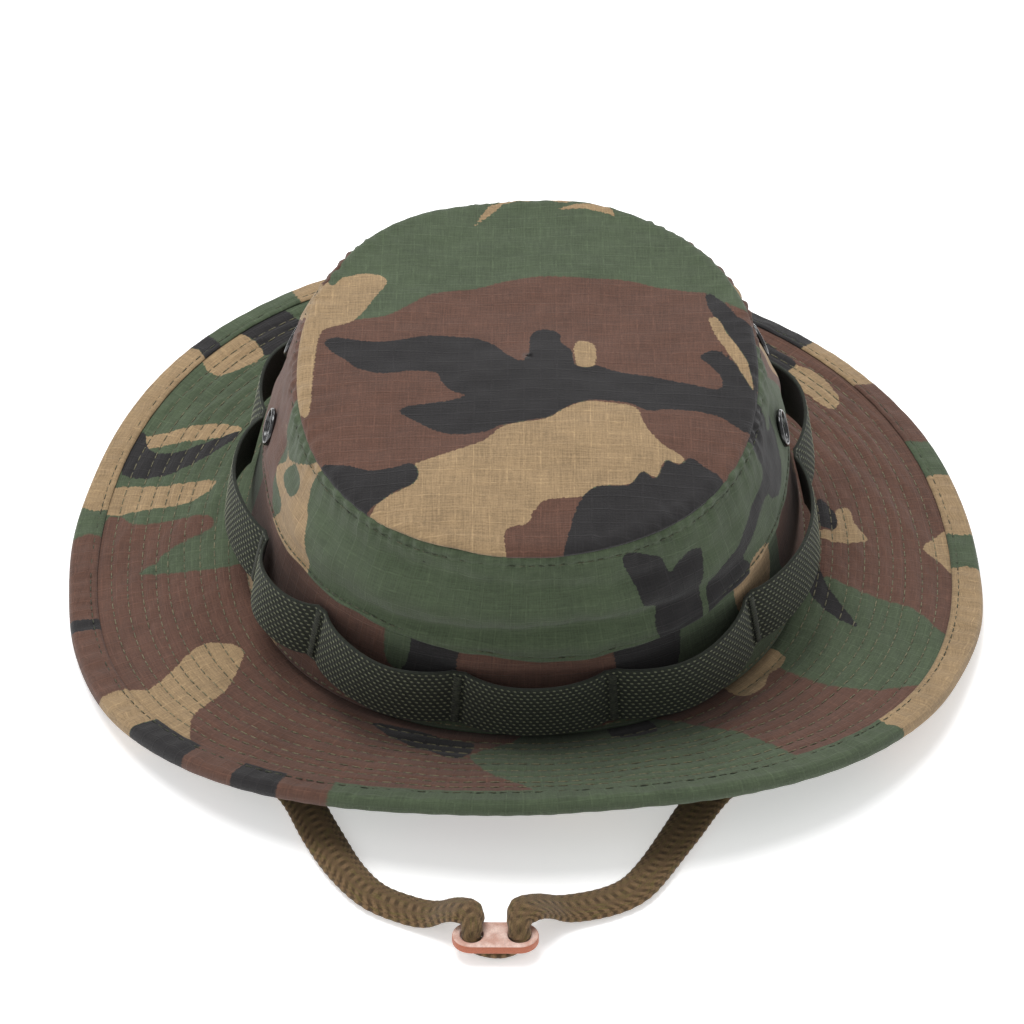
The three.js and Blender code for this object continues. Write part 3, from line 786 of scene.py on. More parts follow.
# Chin strap: one flat braid from under the left of the brim, down through the keeper, under it and up
# again, and back to the right of the brim.
ON_GROUND = 2.3
OVER_KEEPER = 9.9
HALF_WIDTH_IN_HOLE = 3.05
HALF_THICKNESS_IN_HOLE = 2.9
BRAID_PITCH = 3.1
LEFT_STRAND = (
    (-103, 5, 8.1), (-104, -8, 6.7), (-104.5, -20, 4.4), (-104.2, -34, 2.9), (-102.4, -50, ON_GROUND),
    (-97.6, -66, ON_GROUND), (-90.2, -82, ON_GROUND), (-80.6, -98, ON_GROUND), (-70, -114, ON_GROUND),
    (-62.5, -131, ON_GROUND), (-54.5, -147, ON_GROUND), (-45.5, -158.5, ON_GROUND),
    (-34.5, -164.8, ON_GROUND), (-27.5, -168, 3.8), (-22, -170.6, 8), (-17.8, -173.8, OVER_KEEPER + 0.8),
    (-15.6, -176.8, OVER_KEEPER + 0.9), (-15.2, -179.8, OVER_KEEPER + 0.4),
)
RIGHT_STRAND = (
    (103, 5, 8.1), (104, -8, 6.7), (104.5, -20, 4.4), (103, -34, 2.9), (98, -50, ON_GROUND),
    (90.5, -66, ON_GROUND), (81.5, -82, ON_GROUND), (69.5, -98, ON_GROUND), (57.4, -114, ON_GROUND),
    (48.4, -131, ON_GROUND), (39.5, -147.5, ON_GROUND), (33, -156.2, ON_GROUND), (24.5, -161.2, ON_GROUND),
    (13.4, -165.2, 3.6), (6.6, -168.4, 7.6), (1.8, -172.6, OVER_KEEPER + 0.8),
    (-0.7, -176.6, OVER_KEEPER + 0.9), (-1.1, -179.8, OVER_KEEPER + 0.4),
)
UNDER_KEEPER = (
    (-15.4, -180.9, 8.6), (-15.3, -180.9, 6.1), (-14.3, -180.7, 3.6), (-11.6, -180.5, ON_GROUND),
    (-8.2, -180.5, ON_GROUND), (-4.8, -180.5, ON_GROUND), (-2.1, -180.7, 3.6), (-1.1, -180.9, 6.1),
    (-1.0, -180.9, 8.6),
)


def even_curve(points, spacing):
    """Points a set distance apart on a smooth curve through the given ones."""
    p = np.asarray(points, dtype=float)
    p = np.vstack([2 * p[0] - p[1], p, 2 * p[-1] - p[-2]])
    fine = []
    for a, b, c, d in zip(p, p[1:], p[2:], p[3:]):
        for t in np.arange(12) / 12:
            fine.append(0.5 * (2 * b + (c - a) * t + (2 * a - 5 * b + 4 * c - d) * t ** 2
                               + (3 * b - a - 3 * c + d) * t ** 3))
    fine = np.array(fine + [p[-2]])
    way = np.concatenate([[0], np.cumsum(np.linalg.norm(np.diff(fine, axis=0), axis=1))])
    count = int(round(way[-1] / spacing)) + 1
    where = np.linspace(0, way[-1], count)
    return np.stack([np.interp(where, way, fine[:, k]) for k in range(3)], axis=-1), where


def smoothed(values, reach):
    weights = np.exp(-np.linspace(-2, 2, 2 * reach + 1) ** 2)
    weights = weights / weights.sum()
    padded = np.pad(values, ((reach, reach), (0, 0)), mode="edge")
    return np.stack([np.convolve(column, weights, "valid") for column in padded.T], axis=-1)


def chin_strap():
    path, way = even_curve(LEFT_STRAND + UNDER_KEEPER + RIGHT_STRAND[::-1], 0.8)
    tangent = unit(np.gradient(path, axis=0))
    heading = smoothed(tangent[:, :2], 6)
    side = unit(across(-heading[:, 1], heading[:, 0], 0 * way))
    side = unit(side - tangent * np.einsum("ij,ij->i", side, tangent)[:, None])
    normal = np.cross(tangent, side)
    in_holes = (UNDER_KEEPER[1], UNDER_KEEPER[-2])
    hole_way = [way[np.argmin(np.linalg.norm(path - np.array(p), axis=1))] for p in in_holes]
    pinch = sum(np.exp(-(((way - w) / 9) ** 4)) for w in hole_way).clip(0, 1)
    round_part = sum(bump(way, w, 2.6) for w in hole_way).clip(0, 1)
    half_width = STRAP_WIDTH / 2 * (1 - pinch) + HALF_WIDTH_IN_HOLE * pinch
    half_thick = STRAP_THICKNESS / 2 * (1 - round_part) + HALF_THICKNESS_IN_HOLE * round_part
    sides = 32
    turn = 2 * np.pi * np.arange(sides) / sides
    flat_x = np.sign(np.cos(turn)) * np.abs(np.cos(turn)) ** 0.75
    flat_y = np.sign(np.sin(turn)) * np.abs(np.sin(turn)) ** 0.85
    chevron = 2 * np.pi * (way[:, None] / BRAID_PITCH + np.abs(flat_x)[None] * 1.35)
    # The relief raises the yarns, and the braid finish also paints shade in the grooves and light on the
    # ridges from it.
    relief = 0.5 + 0.5 * np.cos(chevron) * np.cos(2 * np.pi * flat_x * 2.5)[None]
    lumps = (0.26 * (relief - 0.6))[..., None]
    wave = (0.25 * np.sin(way / 17) + 0.15 * np.sin(way / 7.3))[:, None]
    out = side[:, None] * flat_x[None, :, None] + normal[:, None] * flat_y[None, :, None]
    points = (
        path[:, None]
        + side[:, None] * (flat_x[None] * (half_width[:, None] + wave))[..., None]
        + normal[:, None] * (flat_y[None] * half_thick[:, None])[..., None]
        + out * lumps
    )
    weave = across(way[:, None], flat_x[None] * STRAP_WIDTH / 2, 0 * relief).reshape(-1, 3)
    faces = tube_faces(len(way), sides)
    strap = make_piece("chin_strap_braid", points, faces, BRAID, slot="strap_braid", body=None,
                       replaces=("chin_cord_left", "chin_cord_right", "chin_cord_bridge"),
                       weave=weave, relief=relief.ravel())
    return strap, path, way[-1]


def keeper_leather():
    """A stadium of leather with two holes, its rims rounded."""
    curve = bpy.data.curves.new("keeper_outline", "CURVE")
    curve.dimensions = "2D"
    curve.fill_mode = "BOTH"
    bevel = 0.55 * MM
    half_x, half_y, thick = (s / 2 * MM for s in KEEPER_SIZE)
    curve.extrude = thick - bevel
    curve.bevel_depth = bevel
    curve.bevel_resolution = 4
    turns = np.linspace(-np.pi / 2, np.pi / 2, 20)
    right = [(half_x - half_y + half_y * math.cos(t), half_y * math.sin(t)) for t in turns]
    loops = [right + [(-x, -y) for x, y in right]]
    circle = np.linspace(0, 2 * np.pi, 32, endpoint=False)
    for side in (-1, 1):
        middle = side * KEEPER_HOLE_SPACING / 2 * MM
        radius = KEEPER_HOLE_RADIUS * MM
        loops.append([(middle + radius * math.cos(t), radius * math.sin(t)) for t in circle])
    for loop, inset in zip(loops, (1, -1, -1)):
        centre_x = sum(x for x, _ in loop) / len(loop)
        spline = curve.splines.new("POLY")
        spline.points.add(len(loop) - 1)
        spline.use_cyclic_u = True
        shrink_x = 1 - inset * bevel / (max(x for x, _ in loop) - centre_x)
        shrink_y = 1 - inset * bevel / max(abs(y) for _, y in loop)
        for point, (x, y) in zip(spline.points, loop):
            point.co = (centre_x + (x - centre_x) * shrink_x, y * shrink_y, 0, 1)
    holder = add_object("keeper_outline", curve)
    bpy.context.view_layer.update()
    mesh = bpy.data.meshes.new_from_object(holder.evaluated_get(bpy.context.evaluated_depsgraph_get()))
    bpy.data.objects.remove(holder)
    middle = np.array([*KEEPER_CENTRE, KEEPER_BASE + KEEPER_SIZE[2] / 2]) * MM
    positions = np.empty(len(mesh.vertices) * 3)
    mesh.vertices.foreach_get("co", positions)
    positions = positions.reshape(-1, 3)
    rim = mesh.attributes.new("rim", "FLOAT", "POINT")
    near_rim = (0.95 - np.abs(positions[:, 2]) / thick) * 5
    rim.data.foreach_set("value", np.clip(near_rim, 0, 1).astype(np.float32))
    mesh.vertices.foreach_set("co", (positions + middle).ravel())
    mesh.materials.clear()
    mesh.materials.append(LEATHER)
    mesh.shade_smooth()
    mesh.set_sharp_from_angle(angle=math.radians(50))
    piece = add_object("keeper_leather_piece", mesh)
    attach(piece, "keeper")
    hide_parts("cord_keeper")
    return piece


keeper = keeper_leather()
strap, strap_path, strap_length = chin_strap()
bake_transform(strap)


# Crown.
RING = 720
# Folds across the wall's front: depth, height, how far and how often the height wanders, and width.
FRONT_FOLDS = ((2.4, 60, 0, 1, 6), (-1.9, 51, 2, 3, 3), (1.3, 45.5, 0, 1, 3), (-0.9, 70, -3, 2, 3))


def front_share(angle):
    """One at the hat's front, and fading away round its sides."""
    return np.exp(-(1 - np.cos(angle)) / 0.35)


def crown_tip():
    angle = ring_angles(RING // 2)[:, None]
    shares = np.concatenate([[0.005], np.linspace(0.03, 0.94, 48), np.linspace(0.95, 1, 12)])[None]
    rim = tip_point(angle)
    centre = np.array([*TIP_CENTRE, STAND_HEIGHT + TIP_HEIGHT + TIP_DOME])
    plan = centre + (rim - centre) * shares[..., None]
    reach = np.clip((shares - TIP_LEVEL_SHARE) / (1 - TIP_LEVEL_SHARE), 0, 1)
    height = centre[2] + (rim[..., 2] - centre[2]) * reach ** 2
    from_rim = (1 - shares) * np.linalg.norm((rim - centre)[..., :2], axis=-1)
    way = TIP_REACH * angle
    pucker = 0.35 * np.sin(way * 0.9 + 2 * np.sin(way * 0.13)) + 0.25 * ripple(way, 0, 6, 3)
    pucker = np.exp(-from_rim / 5) * pucker
    height = height + pucker * np.clip(from_rim / 1.2, 0, 1) - 0.9 * np.exp(-from_rim / 0.8)
    x, y = plan[..., 0], plan[..., 1]
    height = height + 0.55 * ripple(x, y, 46, 4) + 0.16 * ripple(x, y, 13, 5)
    height = height + 0.25 * bump(from_rim, 3, 2.2)
    top = across(x, y, height)
    under = top[:, ::-1][:, ::4] - UP * CLOTH
    rows = np.concatenate([top, under], axis=1)
    columns = rows.shape[1]
    middle = np.arange(len(rows))[None] * columns
    faces = [grid_quads(len(rows), columns, True, False), middle[:, ::-1], middle + columns - 1]
    points = rows.reshape(-1, 3)
    fields = painted(points[:, 0], points[:, 1], TIP_SHAPES)
    weave = points * (1, 1, 0)
    make_piece("crown_tip_cloth", points, faces, CAMOUFLAGE, ("crown_tip",), "camouflage_ripstop",
               weave=weave, **fields)


def in_vent_bore(points, radius):
    """Whether each point lies within the bore of a vent."""
    inside = np.zeros(len(points), dtype=bool)
    for centre, _, _, face in map(vent_place, VENT_ANGLES):
        away = points - centre
        along = away @ face
        flat = np.linalg.norm(away - along[:, None] * face, axis=1)
        inside |= (flat < radius) & (np.abs(along) < 8)
    return inside


def vent_place(degrees):
    """A vent's centre on the wall, and the directions along, up and out of the wall there."""
    angle = np.array(math.radians(degrees))
    height = VENT_SHARE * wall_length(angle)
    centre = wall_point(angle, height, 0.0)
    up = unit(wall_point(angle, height + 4, 0.0) - wall_point(angle, height - 4, 0.0))
    side = unit(wall_point(angle + 0.04, height, 0.0) - wall_point(angle - 0.04, height, 0.0))
    face = unit(np.cross(side, up))
    return centre, side, np.cross(face, side), face


def ring_piece(name, angle, heights, offsets, surface, material, slot, replaces, shapes, scale, cut=None):
    """Cloth round the hat: its outer face from low to high, then its inner face back down."""
    rows = surface(angle, heights, offsets)
    columns = rows.shape[1]
    points = rows.reshape(-1, 3)
    quads = grid_quads(len(rows), columns, True, True)
    if cut is not None:
        holes = cut(points)
        quads = quads[~holes[quads].all(axis=1)]
    degrees = np.degrees(np.broadcast_to(angle, heights.shape)).ravel()
    fields = painted(degrees, heights.ravel(), shapes, scale) if shapes else {}
    weave = across(degrees * scale, heights.ravel(), 0 * degrees)
    make_piece(name, points, [quads], material, replaces, slot, weave=weave, **fields)


def crown_side():
    angle = ring_angles(RING)[:, None]
    low, high = hem_height(angle), wall_length(angle) - 0.9
    share = np.concatenate([[0, 0.004, 0.012], np.linspace(0.03, 0.95, 62), np.linspace(0.96, 1, 8)])[None]
    height = low + (high - low) * share
    way = angle * BAND_REACH
    from_top, from_hem = high - height, height - low
    folds = 0
    for depth, middle, wander, turns, width in FRONT_FOLDS:
        folds = folds + depth * bump(height, middle + wander * np.sin(angle * turns), width)
    off = front_share(angle) * folds
    ease = np.clip(from_hem / 8, 0, 1) * np.clip(from_top / 8, 0, 1)
    off = off + 0.55 * ripple(way, height * 2.2, 48, 11) * ease
    off = off + 0.22 * ripple(way, height, 12, 12) * np.clip(from_top / 4, 0, 1)
    pucker = 0.5 * np.sin(way * 1.05 + 2.3 * np.sin(way * 0.11)) + 0.35 * ripple(way, 0 * way, 5, 13)
    off = off + pucker * np.exp(-from_top / 6) * np.clip(from_top / 1.5, 0, 1)
    off = off - 1.0 * np.exp(-from_top / 0.7) + 0.35 * bump(from_top, 2.4, 1.6) - 0.3 * bump(from_top, 4, 0.6)
    off = off + 0.35 * np.clip(1 - from_hem / 5.5, 0, 1) ** 0.5 - 0.35 * bump(from_hem, 1.9, 0.5)
    off = off - 0.5 * np.exp(-from_hem / 0.25)
    hem_wave = 0.35 * ripple(way, 0 * way, 26, 14)
    height = height + hem_wave * np.clip(1 - from_hem / 10, 0, 1)
    inner = height[:, ::-3]
    rows = np.concatenate([height, inner], axis=1)
    offsets = np.concatenate([off, off[:, ::-3] - CLOTH], axis=1)
    ring_piece("crown_side_cloth", angle, rows, offsets, wall_point, CAMOUFLAGE, "camouflage_ripstop",
               ("crown_side",), WALL_SHAPES, WALL_MM_PER_DEGREE,
               lambda points: in_vent_bore(points, VENT_BORE + 0.6))
    normal = wall_face(ring_angles(RING))
    seam = wall_point(angle, high - 4, 0.12)[:, 0]
    hem = wall_point(angle, low + 1.9 + hem_wave, 0.25)[:, 0]
    rows = [stitches_along(seam, normal, *SEAM_STITCH), stitches_along(hem, normal, *HEM_STITCH)]
    stitching("crown_side_stitching", rows, SEAM_THREAD)


def cloth_ring(
    name, low, high, off, thickness, surface, material, slot, replaces, uneven, shapes=(), rows=14,
):
    """A plain band of cloth with rounded edges."""
    angle = ring_angles(RING // 2)[:, None]
    share = np.concatenate([[0, 0.02], np.linspace(0.06, 0.94, rows), [0.98, 1]])[None]
    height = low(angle) + (high(angle) - low(angle)) * share
    edge = 1 - (2 * np.abs(share - 0.5)) ** 24
    wave = uneven * ripple(angle * BAND_REACH, height, 22, 20)
    outer = off + wave - thickness * 0.35 * (1 - edge)
    inner = off - thickness + wave + thickness * 0.35 * (1 - edge)
    heights = np.concatenate([height, height[:, ::-1]], axis=1)
    offsets = np.concatenate([outer, inner[:, ::-1]], axis=1)
    ring_piece(name, angle, heights, offsets, surface, material, slot, replaces, shapes, WALL_MM_PER_DEGREE)


def level(value):
    return lambda angle: value + 0 * angle


def crown_inside_and_band():
    """The lower band behind the webbing, the tape inside the tip seam, and the sweatband."""
    under_cloth = -CLOTH - 0.45
    cloth_ring(
        "crown_lower_band_cloth", level(LOWER_BAND_START),
        lambda angle: hem_height(angle) + LOWER_BAND_OVERLAP,
        under_cloth, CLOTH, wall_point, CAMOUFLAGE, "camouflage_ripstop", ("crown_lower_band",), 0.05,
        LOWER_BAND_SHAPES,
    )
    tape_low, tape_high = TIP_TAPE_FROM_RIM
    cloth_ring(
        "tip_seam_tape_cloth", lambda angle: wall_length(angle) - tape_low,
        lambda angle: wall_length(angle) - tape_high,
        under_cloth, 0.7, wall_point, TAPE, "seam_tape", ("tip_seam_tape",), 0.05, rows=6,
    )
    cloth_ring(
        "sweatband_cloth", level(SWEATBAND_LOW), level(SWEATBAND_HIGH),
        SWEATBAND_OFFSET, 1, wall_point, LINING, "lining_cloth", ("sweatband",), 0.25,
    )
    angle = ring_angles(RING // 2)
    normal = wall_face(angle)
    rows = []
    for height in (SWEATBAND_LOW + 2, SWEATBAND_HIGH - 2):
        line = wall_point(angle, height, SWEATBAND_OFFSET - 1.1)
        rows.append(stitches_along(line, -normal, *SWEATBAND_STITCH))
    line = wall_point(angle, 5.4, under_cloth + 0.1)
    rows.append(stitches_along(line, normal, *BAND_STITCH))
    stitching("band_stitching", rows, THREAD)


# Brim.
ROW_DISTANCES = np.arange(3.2, BRIM_WIDTH - BINDING_WIDTH - 1, STITCH_ROW_PITCH)
ROW_WANDER = 0.5


def row_distance(angle, row):
    return row + ROW_WANDER * np.sin(2 * angle + row) + 0.25 * np.sin(5 * angle + 2 * row)


def brim_relief(angle, distance, seed):
    """How the quilted cloth stands above its seams."""
    way = angle * (BAND_REACH + distance)
    lift = 0.28 * ripple(way, distance, 34, seed) + 0.1 * ripple(way, distance, 9, seed + 1)
    for row in ROW_DISTANCES:
        away = distance - row_distance(angle, row)
        lift = lift - 0.5 * bump(away, 0, 0.9) * (0.8 + 0.2 * np.cos(2 * np.pi * way / 4.4))
    return np.maximum(lift, -0.6)


def brim_cloth(name, sign, count, replaces, material, slot, shapes, seed):
    """One ply of the brim with its quilting: sign is 1 for the upper ply and -1 for the lower."""
    angle = ring_angles(count)[:, None]
    distances = np.linspace(BRIM_START, BRIM_WIDTH - 1.6, 118)[None]
    distance = distances + 0 * angle
    fade = np.clip((BRIM_WIDTH - BINDING_WIDTH - distance) / 2, 0, 1)
    fade = fade * np.clip((distance + 1) / 3, 0, 1)
    outer = sign * (BRIM_STACK + fade * brim_relief(angle, distance, seed))
    inner = sign * 0.5 + 0 * distance
    rows = np.concatenate([distance, distance[:, ::-6]], axis=1)
    lifts = np.concatenate([outer, inner[:, ::-6]], axis=1)
    ring_piece(name, angle, rows, lifts, brim_point, material, slot, replaces, shapes, BRIM_MM_PER_DEGREE)
    angle = ring_angles(RING)
    normal = sign * brim_normal(angle)
    rows = []
    for row in ROW_DISTANCES:
        distance = row_distance(angle, row)
        lift = sign * (BRIM_STACK + brim_relief(angle, distance, seed) + 0.1)
        rows.append(stitches_along(brim_point(angle, distance, lift), normal, *QUILT_STITCH))
    stitching(name.replace("cloth", "stitching"), rows, THREAD)


def binding():
    """A folded strip of cloth over the edge, with its own row of stitches."""
    angle = ring_angles(RING)[:, None]
    start, edge = BRIM_WIDTH - BINDING_WIDTH + 0.2, BRIM_WIDTH
    half, thick = BRIM_STACK + 0.3, 0.65
    away = np.concatenate([[0, 0.15, 0.5], np.linspace(1, edge - start - 1.6, 12)])
    top_rise = (thick + 0.25) * (1 - np.exp(-away / 0.5)) - 0.35 * bump(away, 2.2, 0.6)
    turn = np.linspace(np.pi / 2, -np.pi / 2, 9)[1:-1]
    cap_d = edge - 1.5 + 1.5 * np.cos(turn)
    cap_l = (half + thick) * np.sin(turn)
    top = half + top_rise
    inside = start + away[1::4] + 0.4
    distance = np.concatenate([start + away, cap_d, (start + away)[::-1], inside, inside[::-1]])
    lift = np.concatenate([top, cap_l, -top[::-1], 0 * inside - half, 0 * inside + half])
    distance, lift = distance[None] + 0 * angle, lift[None] + 0 * angle
    way = angle * EDGE_REACH
    pucker = 0.22 * np.sin(way * 0.8 + 2 * np.sin(way * 0.09)) + 0.2 * ripple(way, distance, 14, 71)
    outer = np.abs(lift) > half + 0.2
    lift = lift + np.where(outer, np.sign(lift) * pucker * bump(distance, start + 4.5, 4), 0)
    distance = distance + np.where(distance > edge - 3, 0.35 * ripple(way, 0 * way, 60, 72), 0)
    rows = brim_point(angle, distance, lift)
    degrees = np.degrees(np.broadcast_to(angle, distance.shape)).ravel()
    fields = stretch_fields(degrees, distance.ravel(), BINDING_STRETCHES, start - 8, edge + 8)
    weave = across(degrees * 2.6, distance.ravel() + 2.5 * lift.ravel(), 0 * degrees)
    quads = grid_quads(len(rows), rows.shape[1], True, True)
    make_piece("brim_binding_cloth", rows, [quads], CAMOUFLAGE, ("brim_binding",), "camouflage_ripstop",
               weave=weave, **fields)
    angle = ring_angles(RING)
    rows = []
    for sign in (1, -1):
        line = brim_point(angle, start + 2.2, sign * (half + thick))
        rows.append(stitches_along(line, sign * brim_normal(angle), *BINDING_STITCH))
    stitching("brim_binding_stitching", rows, SEAM_THREAD)


# Foliage webbing.

def webbing_course(count):
    """For each step round the hat: the angle, the lower edge's height, and how far both edges stand off."""
    degrees = np.linspace(BARTACKS[0][0], BARTACKS[0][0] + 360, count, endpoint=False)
    tacks = np.array(BARTACKS + ((BARTACKS[0][0] + 360, BARTACKS[0][1]),))
    bottom = np.interp(degrees, tacks[:, 0], tacks[:, 1])
    which = np.searchsorted(tacks[:, 0], degrees, side="right") - 1
    start, end = tacks[which, 0], tacks[which + 1, 0]
    share = (degrees - start - BARTACK_FLAT_DEGREES) / (end - start - 2 * BARTACK_FLAT_DEGREES)
    share = np.clip(share, 0, 1)
    arch = np.sin(np.pi * share) ** 0.8
    frontness = np.maximum(0, np.cos(np.radians((start + end) / 2))) ** 16
    bulge = WEBBING_BULGE + (WEBBING_FRONT_BULGE - WEBBING_BULGE) * frontness
    low = 0.3 + bulge * arch
    return np.radians(degrees), bottom, low, low + WEBBING_LEAN * arch, arch


def webbing():
    steps, widths = 1900, 57
    angle, bottom, low, high, arch = webbing_course(steps)
    share = np.linspace(0, 1, widths)
    way = angle * WEBBING_REACH
    sag = 0.5 * ripple(way, 0 * way, 40, 81) * arch
    height = bottom[:, None] + WEBBING_WIDTH * share[None] + sag[:, None]
    off = low[:, None] + (high - low)[:, None] * share[None]
    rib = 0.5 - 0.5 * np.cos(2 * np.pi * share[None] * WEBBING_YARNS)
    lean = np.floor(share * WEBBING_YARNS) * 0.5 + (share * WEBBING_YARNS % 1 - 0.5) * 0.35
    pick = np.cos(2 * np.pi * (way[:, None] / WEBBING_PICK + lean[None]))
    relief = rib * np.clip(0.5 + 0.75 * pick, 0, 1)
    edge = 1 - np.abs(2 * share - 1)[None] ** 14
    outer = off + WEBBING_THICKNESS - 0.15 + 0.42 * (relief - 0.4) * edge
    front = wall_point(angle[:, None], height, outer)
    back = wall_point(angle[:, None], height[:, ::-3], off[:, ::-3])
    rows = np.concatenate([front, back], axis=1)
    # The inner face is given a low relief, so it is painted all in the dark warp colour: partly the webbing's
    # own dark back and partly painted shade inside the loops.
    relief_and_inner_shade = np.concatenate([relief, 0.4 + 0 * relief[:, ::-3]], axis=1)
    across_way = np.concatenate([height, height[:, ::-3]], axis=1)
    weave = across(way[:, None] + 0 * across_way, across_way, 0 * across_way).reshape(-1, 3)
    nodes = [f"webbing_loop_{i + 1:02d}" for i in range(len(BARTACKS))]
    quads = grid_quads(steps, rows.shape[1], True, True)
    make_piece("foliage_webbing", rows, [quads], WEBBING, nodes, "webbing",
               weave=weave, relief=relief_and_inner_shade.ravel())


def bartacks():
    """Dense bars of thread that hold the webbing down."""
    for i, (degrees, lift) in enumerate(BARTACKS):
        rng = np.random.default_rng(90 + i)
        heights = np.arange(lift + 1.6, lift + WEBBING_WIDTH - 1.4, 0.55)
        jitter = rng.uniform(-0.12, 0.12, len(heights))
        angle = math.radians(degrees) + jitter / 100
        centres = wall_point(angle, heights, WEBBING_THICKNESS + 0.55)
        normals = wall_face(angle)
        tangents = unit(wall_point(angle + 0.01, heights, 0.0) - wall_point(angle - 0.01, heights, 0.0))
        tangents = unit(tangents + 0.12 * UP * np.where(np.arange(len(heights)) % 2, 1, -1)[:, None])
        points, faces = capsules(centres, tangents, normals, 1.45 + jitter, 0.32)
        make_piece(f"bartack_thread_{i + 1:02d}", points, faces, DARK_THREAD,
                   (f"webbing_bartack_{i + 1:02d}",), "thread")


# Vents.

def placed_lathe(profile, steps, place):
    centre, side, up, face = place
    turn = 2 * np.pi * np.arange(steps) / steps
    radius, out = np.array(profile, dtype=float).T
    points = (
        centre
        + side * (np.cos(turn)[:, None] * radius)[..., None]
        + up * (np.sin(turn)[:, None] * radius)[..., None]
        + face * (0 * turn[:, None] + out)[..., None]
    )
    return points, [grid_quads(steps, len(profile), True, True)]


def rolled(inner, outer, base, top):
    """A flange's section: flat beneath, and rolled over on top."""
    turn = np.linspace(0, np.pi, 11)
    middle, half = (inner + outer) / 2, (outer - inner) / 2
    return [(middle + half * math.cos(t), base + (top - base) * math.sin(t) ** 0.7) for t in turn]


def vents():
    barrel = [
        (VENT_BORE + 0.2, 0.7), (VENT_BORE, 0.4), (VENT_BORE, -2.4), (VENT_BORE + 0.5, -2.4),
        (VENT_BORE + 0.5, 0.3),
    ]
    eyelet = rolled(VENT_RADIUS - EYELET_ROLL, VENT_RADIUS, 0.3, 1.7) + barrel
    washer = [
        (VENT_BORE + 0.8, -2.2), (VENT_RADIUS - 0.2, -2.2), (VENT_RADIUS, -2.0), (VENT_RADIUS, -1.8),
        (VENT_RADIUS - 0.2, -1.6), (VENT_BORE + 0.8, -1.6),
    ]
    for i, degrees in enumerate(VENT_ANGLES, 1):
        place = vent_place(degrees)
        for part, profile in (("eyelet", eyelet), ("washer", washer)):
            points, faces = placed_lathe(profile, 64, place)
            make_piece(f"vent_{part}_ring_{i}", points, faces, ENAMEL, (f"vent_{part}_{i}",), "black_metal")
        screen(i, place)


def screen(i, place):
    """Crossed wires across the vent's bore."""
    centre, side, up, face = place
    radius = VENT_BORE - 0.25
    centres, tangents, halves = [], [], []
    for k in np.arange(-5, 6) * 0.72:
        half = math.sqrt(radius ** 2 - k ** 2)
        for along, other, depth in ((side, up, 0.05), (up, side, -0.05)):
            centres.append(centre + other * k + face * depth)
            tangents.append(along)
            halves.append(half)
    points, faces = capsules(centres, tangents, [face] * len(centres), np.array(halves), 0.13)
    make_piece(f"vent_screen_mesh_{i}", points, faces, SCREEN, (f"vent_screen_{i}",), "screen_mesh")


def strap_tacks():
    """Where the strap's ends are sewn under the brim: a folded tab."""
    for name, degrees in (("left", -92), ("right", 92)):
        angle = np.radians(degrees + np.linspace(-4.4, 4.4, 40))[:, None]
        share = np.linspace(0, 1, 22)[None]
        distance = 0.6 + 8 * share + 0 * angle
        edge = (1 - np.abs(2 * share - 1) ** 10) * (1 - np.linspace(-1, 1, 40)[:, None] ** 14)
        top = -(BRIM_STACK + 0.45)
        low = top - 0.3 - 0.7 * edge + 0.1 * np.sin(angle * 900) * np.sin(distance * 3) * edge
        outer = brim_point(angle, distance, low)
        inner = brim_point(angle, distance[:, ::-1], top + 0 * low)
        rows = np.concatenate([outer, inner], axis=1)
        weave = across(np.degrees(angle) * 1.7, rows[..., 2], 0 * rows[..., 0]).reshape(-1, 3)
        # Stripes of relief, which the braid finish paints as shade in the grooves and light on the ridges.
        relief = 0.5 + 0.5 * np.sin(angle * 900) * np.ones((1, rows.shape[1]))
        faces = tube_faces(*rows.shape[:2])
        make_piece(f"strap_tack_{name}_tab", rows, faces, BRAID, (f"strap_tack_{name}",), "strap_braid",
                   weave=weave, relief=relief.ravel())


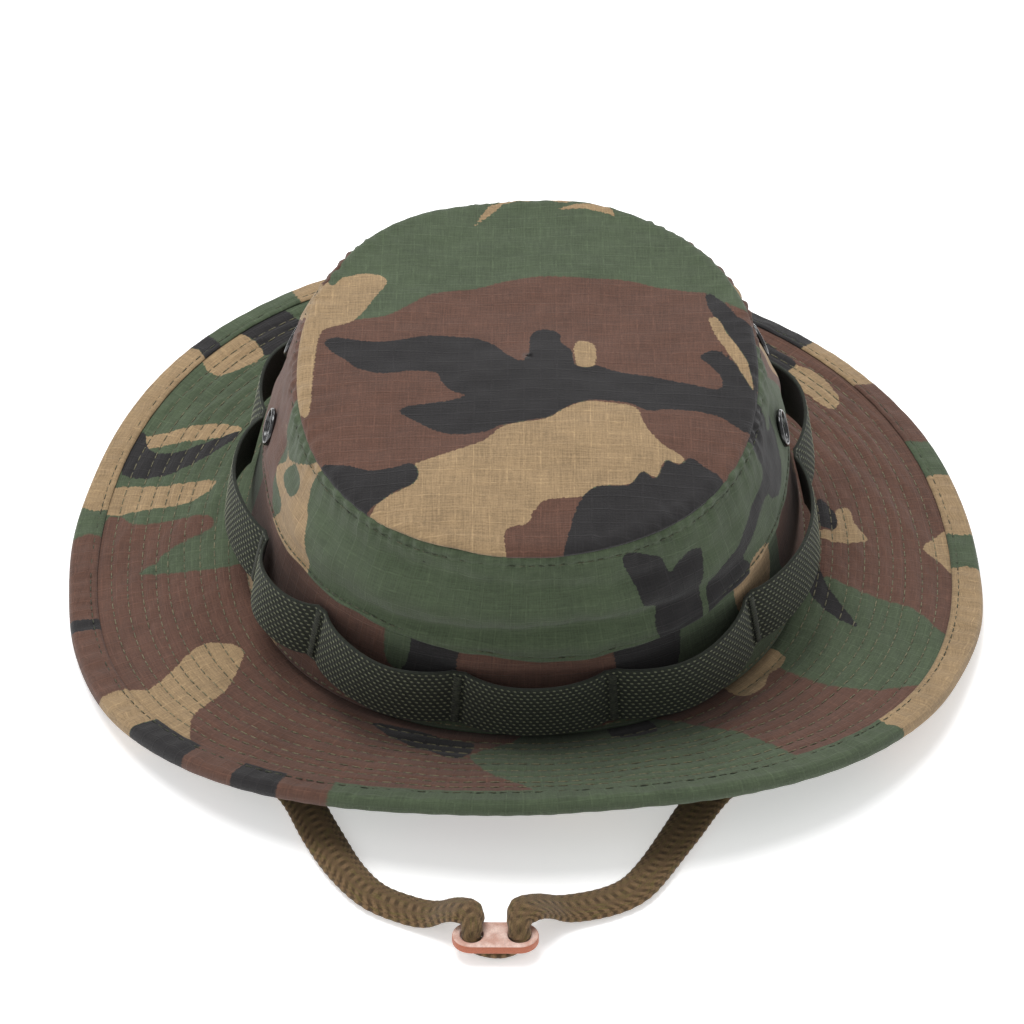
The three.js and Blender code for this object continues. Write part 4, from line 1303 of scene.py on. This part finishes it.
def interlining():
    """The stiffening between the two plies of the brim."""
    cloth_ring(
        "brim_interlining_felt", level(BRIM_START), level(BRIM_WIDTH - 1.8),
        0.35, 0.7, brim_point, INTERLINING, "interlining", ("brim_interlining",), 0.0,
    )


crown_tip()
crown_side()
crown_inside_and_band()
brim_cloth(
    "brim_upper_cloth", 1, RING, ("brim_upper_ply",), CAMOUFLAGE, "camouflage_ripstop", BRIM_SHAPES, 55,
)
brim_cloth(
    "brim_lower_cloth", -1, RING // 2, ("brim_lower_ply",), UNDERSIDE, "brim_underside", UNDERSIDE_SHAPES, 57,
)
binding()
webbing()
bartacks()
vents()
strap_tacks()
interlining()


# Floor, light and view.

def floor():
    glow = {"Emission_Color": (1, 1, 1, 1), "Emission_Strength": 0.42}
    finish = Finish("floor_paper", 0.9, Specular_IOR_Level=0.1, **glow)
    place = finish.put("TexCoord", {}).outputs["Object"]
    finish.colour(finish.mix(finish.noise(place, 3.0), (0.93, 0.93, 0.93, 1), (0.96, 0.96, 0.96, 1)))
    size = 6.0
    corners = [(-size, -size, 0), (size, -size, 0), (size, size, 0), (-size, size, 0)]
    mesh = bpy.data.meshes.new("floor")
    mesh.from_pydata(corners, [], [(0, 1, 2, 3)])
    mesh.materials.append(finish.material)
    add_object("floor", mesh)


def lamp(name, place, energy, size, target=(0, 0, 0.05)):
    data = bpy.data.lights.new(name, "AREA")
    data.energy = energy
    data.shape = "DISK"
    data.size = size
    light = add_object(name, data)
    light.location = place
    aim = np.array(target) - np.array(place)
    yaw = math.atan2(aim[0], -aim[1])
    pitch = math.acos(-aim[2] / np.linalg.norm(aim))
    light.rotation_euler = (pitch, 0, math.pi + yaw)


def studio():
    world = bpy.data.worlds.new("studio")
    world.use_nodes = True
    background = world.node_tree.nodes["Background"]
    background.inputs["Color"].default_value = (1, 1, 1, 1)
    background.inputs["Strength"].default_value = 0.5
    bpy.context.scene.world = world
    bpy.context.scene.view_settings.view_transform = "Standard"
    lamp("key", (-0.35, 0.15, 1.8), 20, 1.0)
    lamp("fill", (-1.0, -0.9, 1.0), 2.5, 1.0)
    lamp("back", (0.3, 1.2, 1.2), 6, 1.0)


floor()
studio()
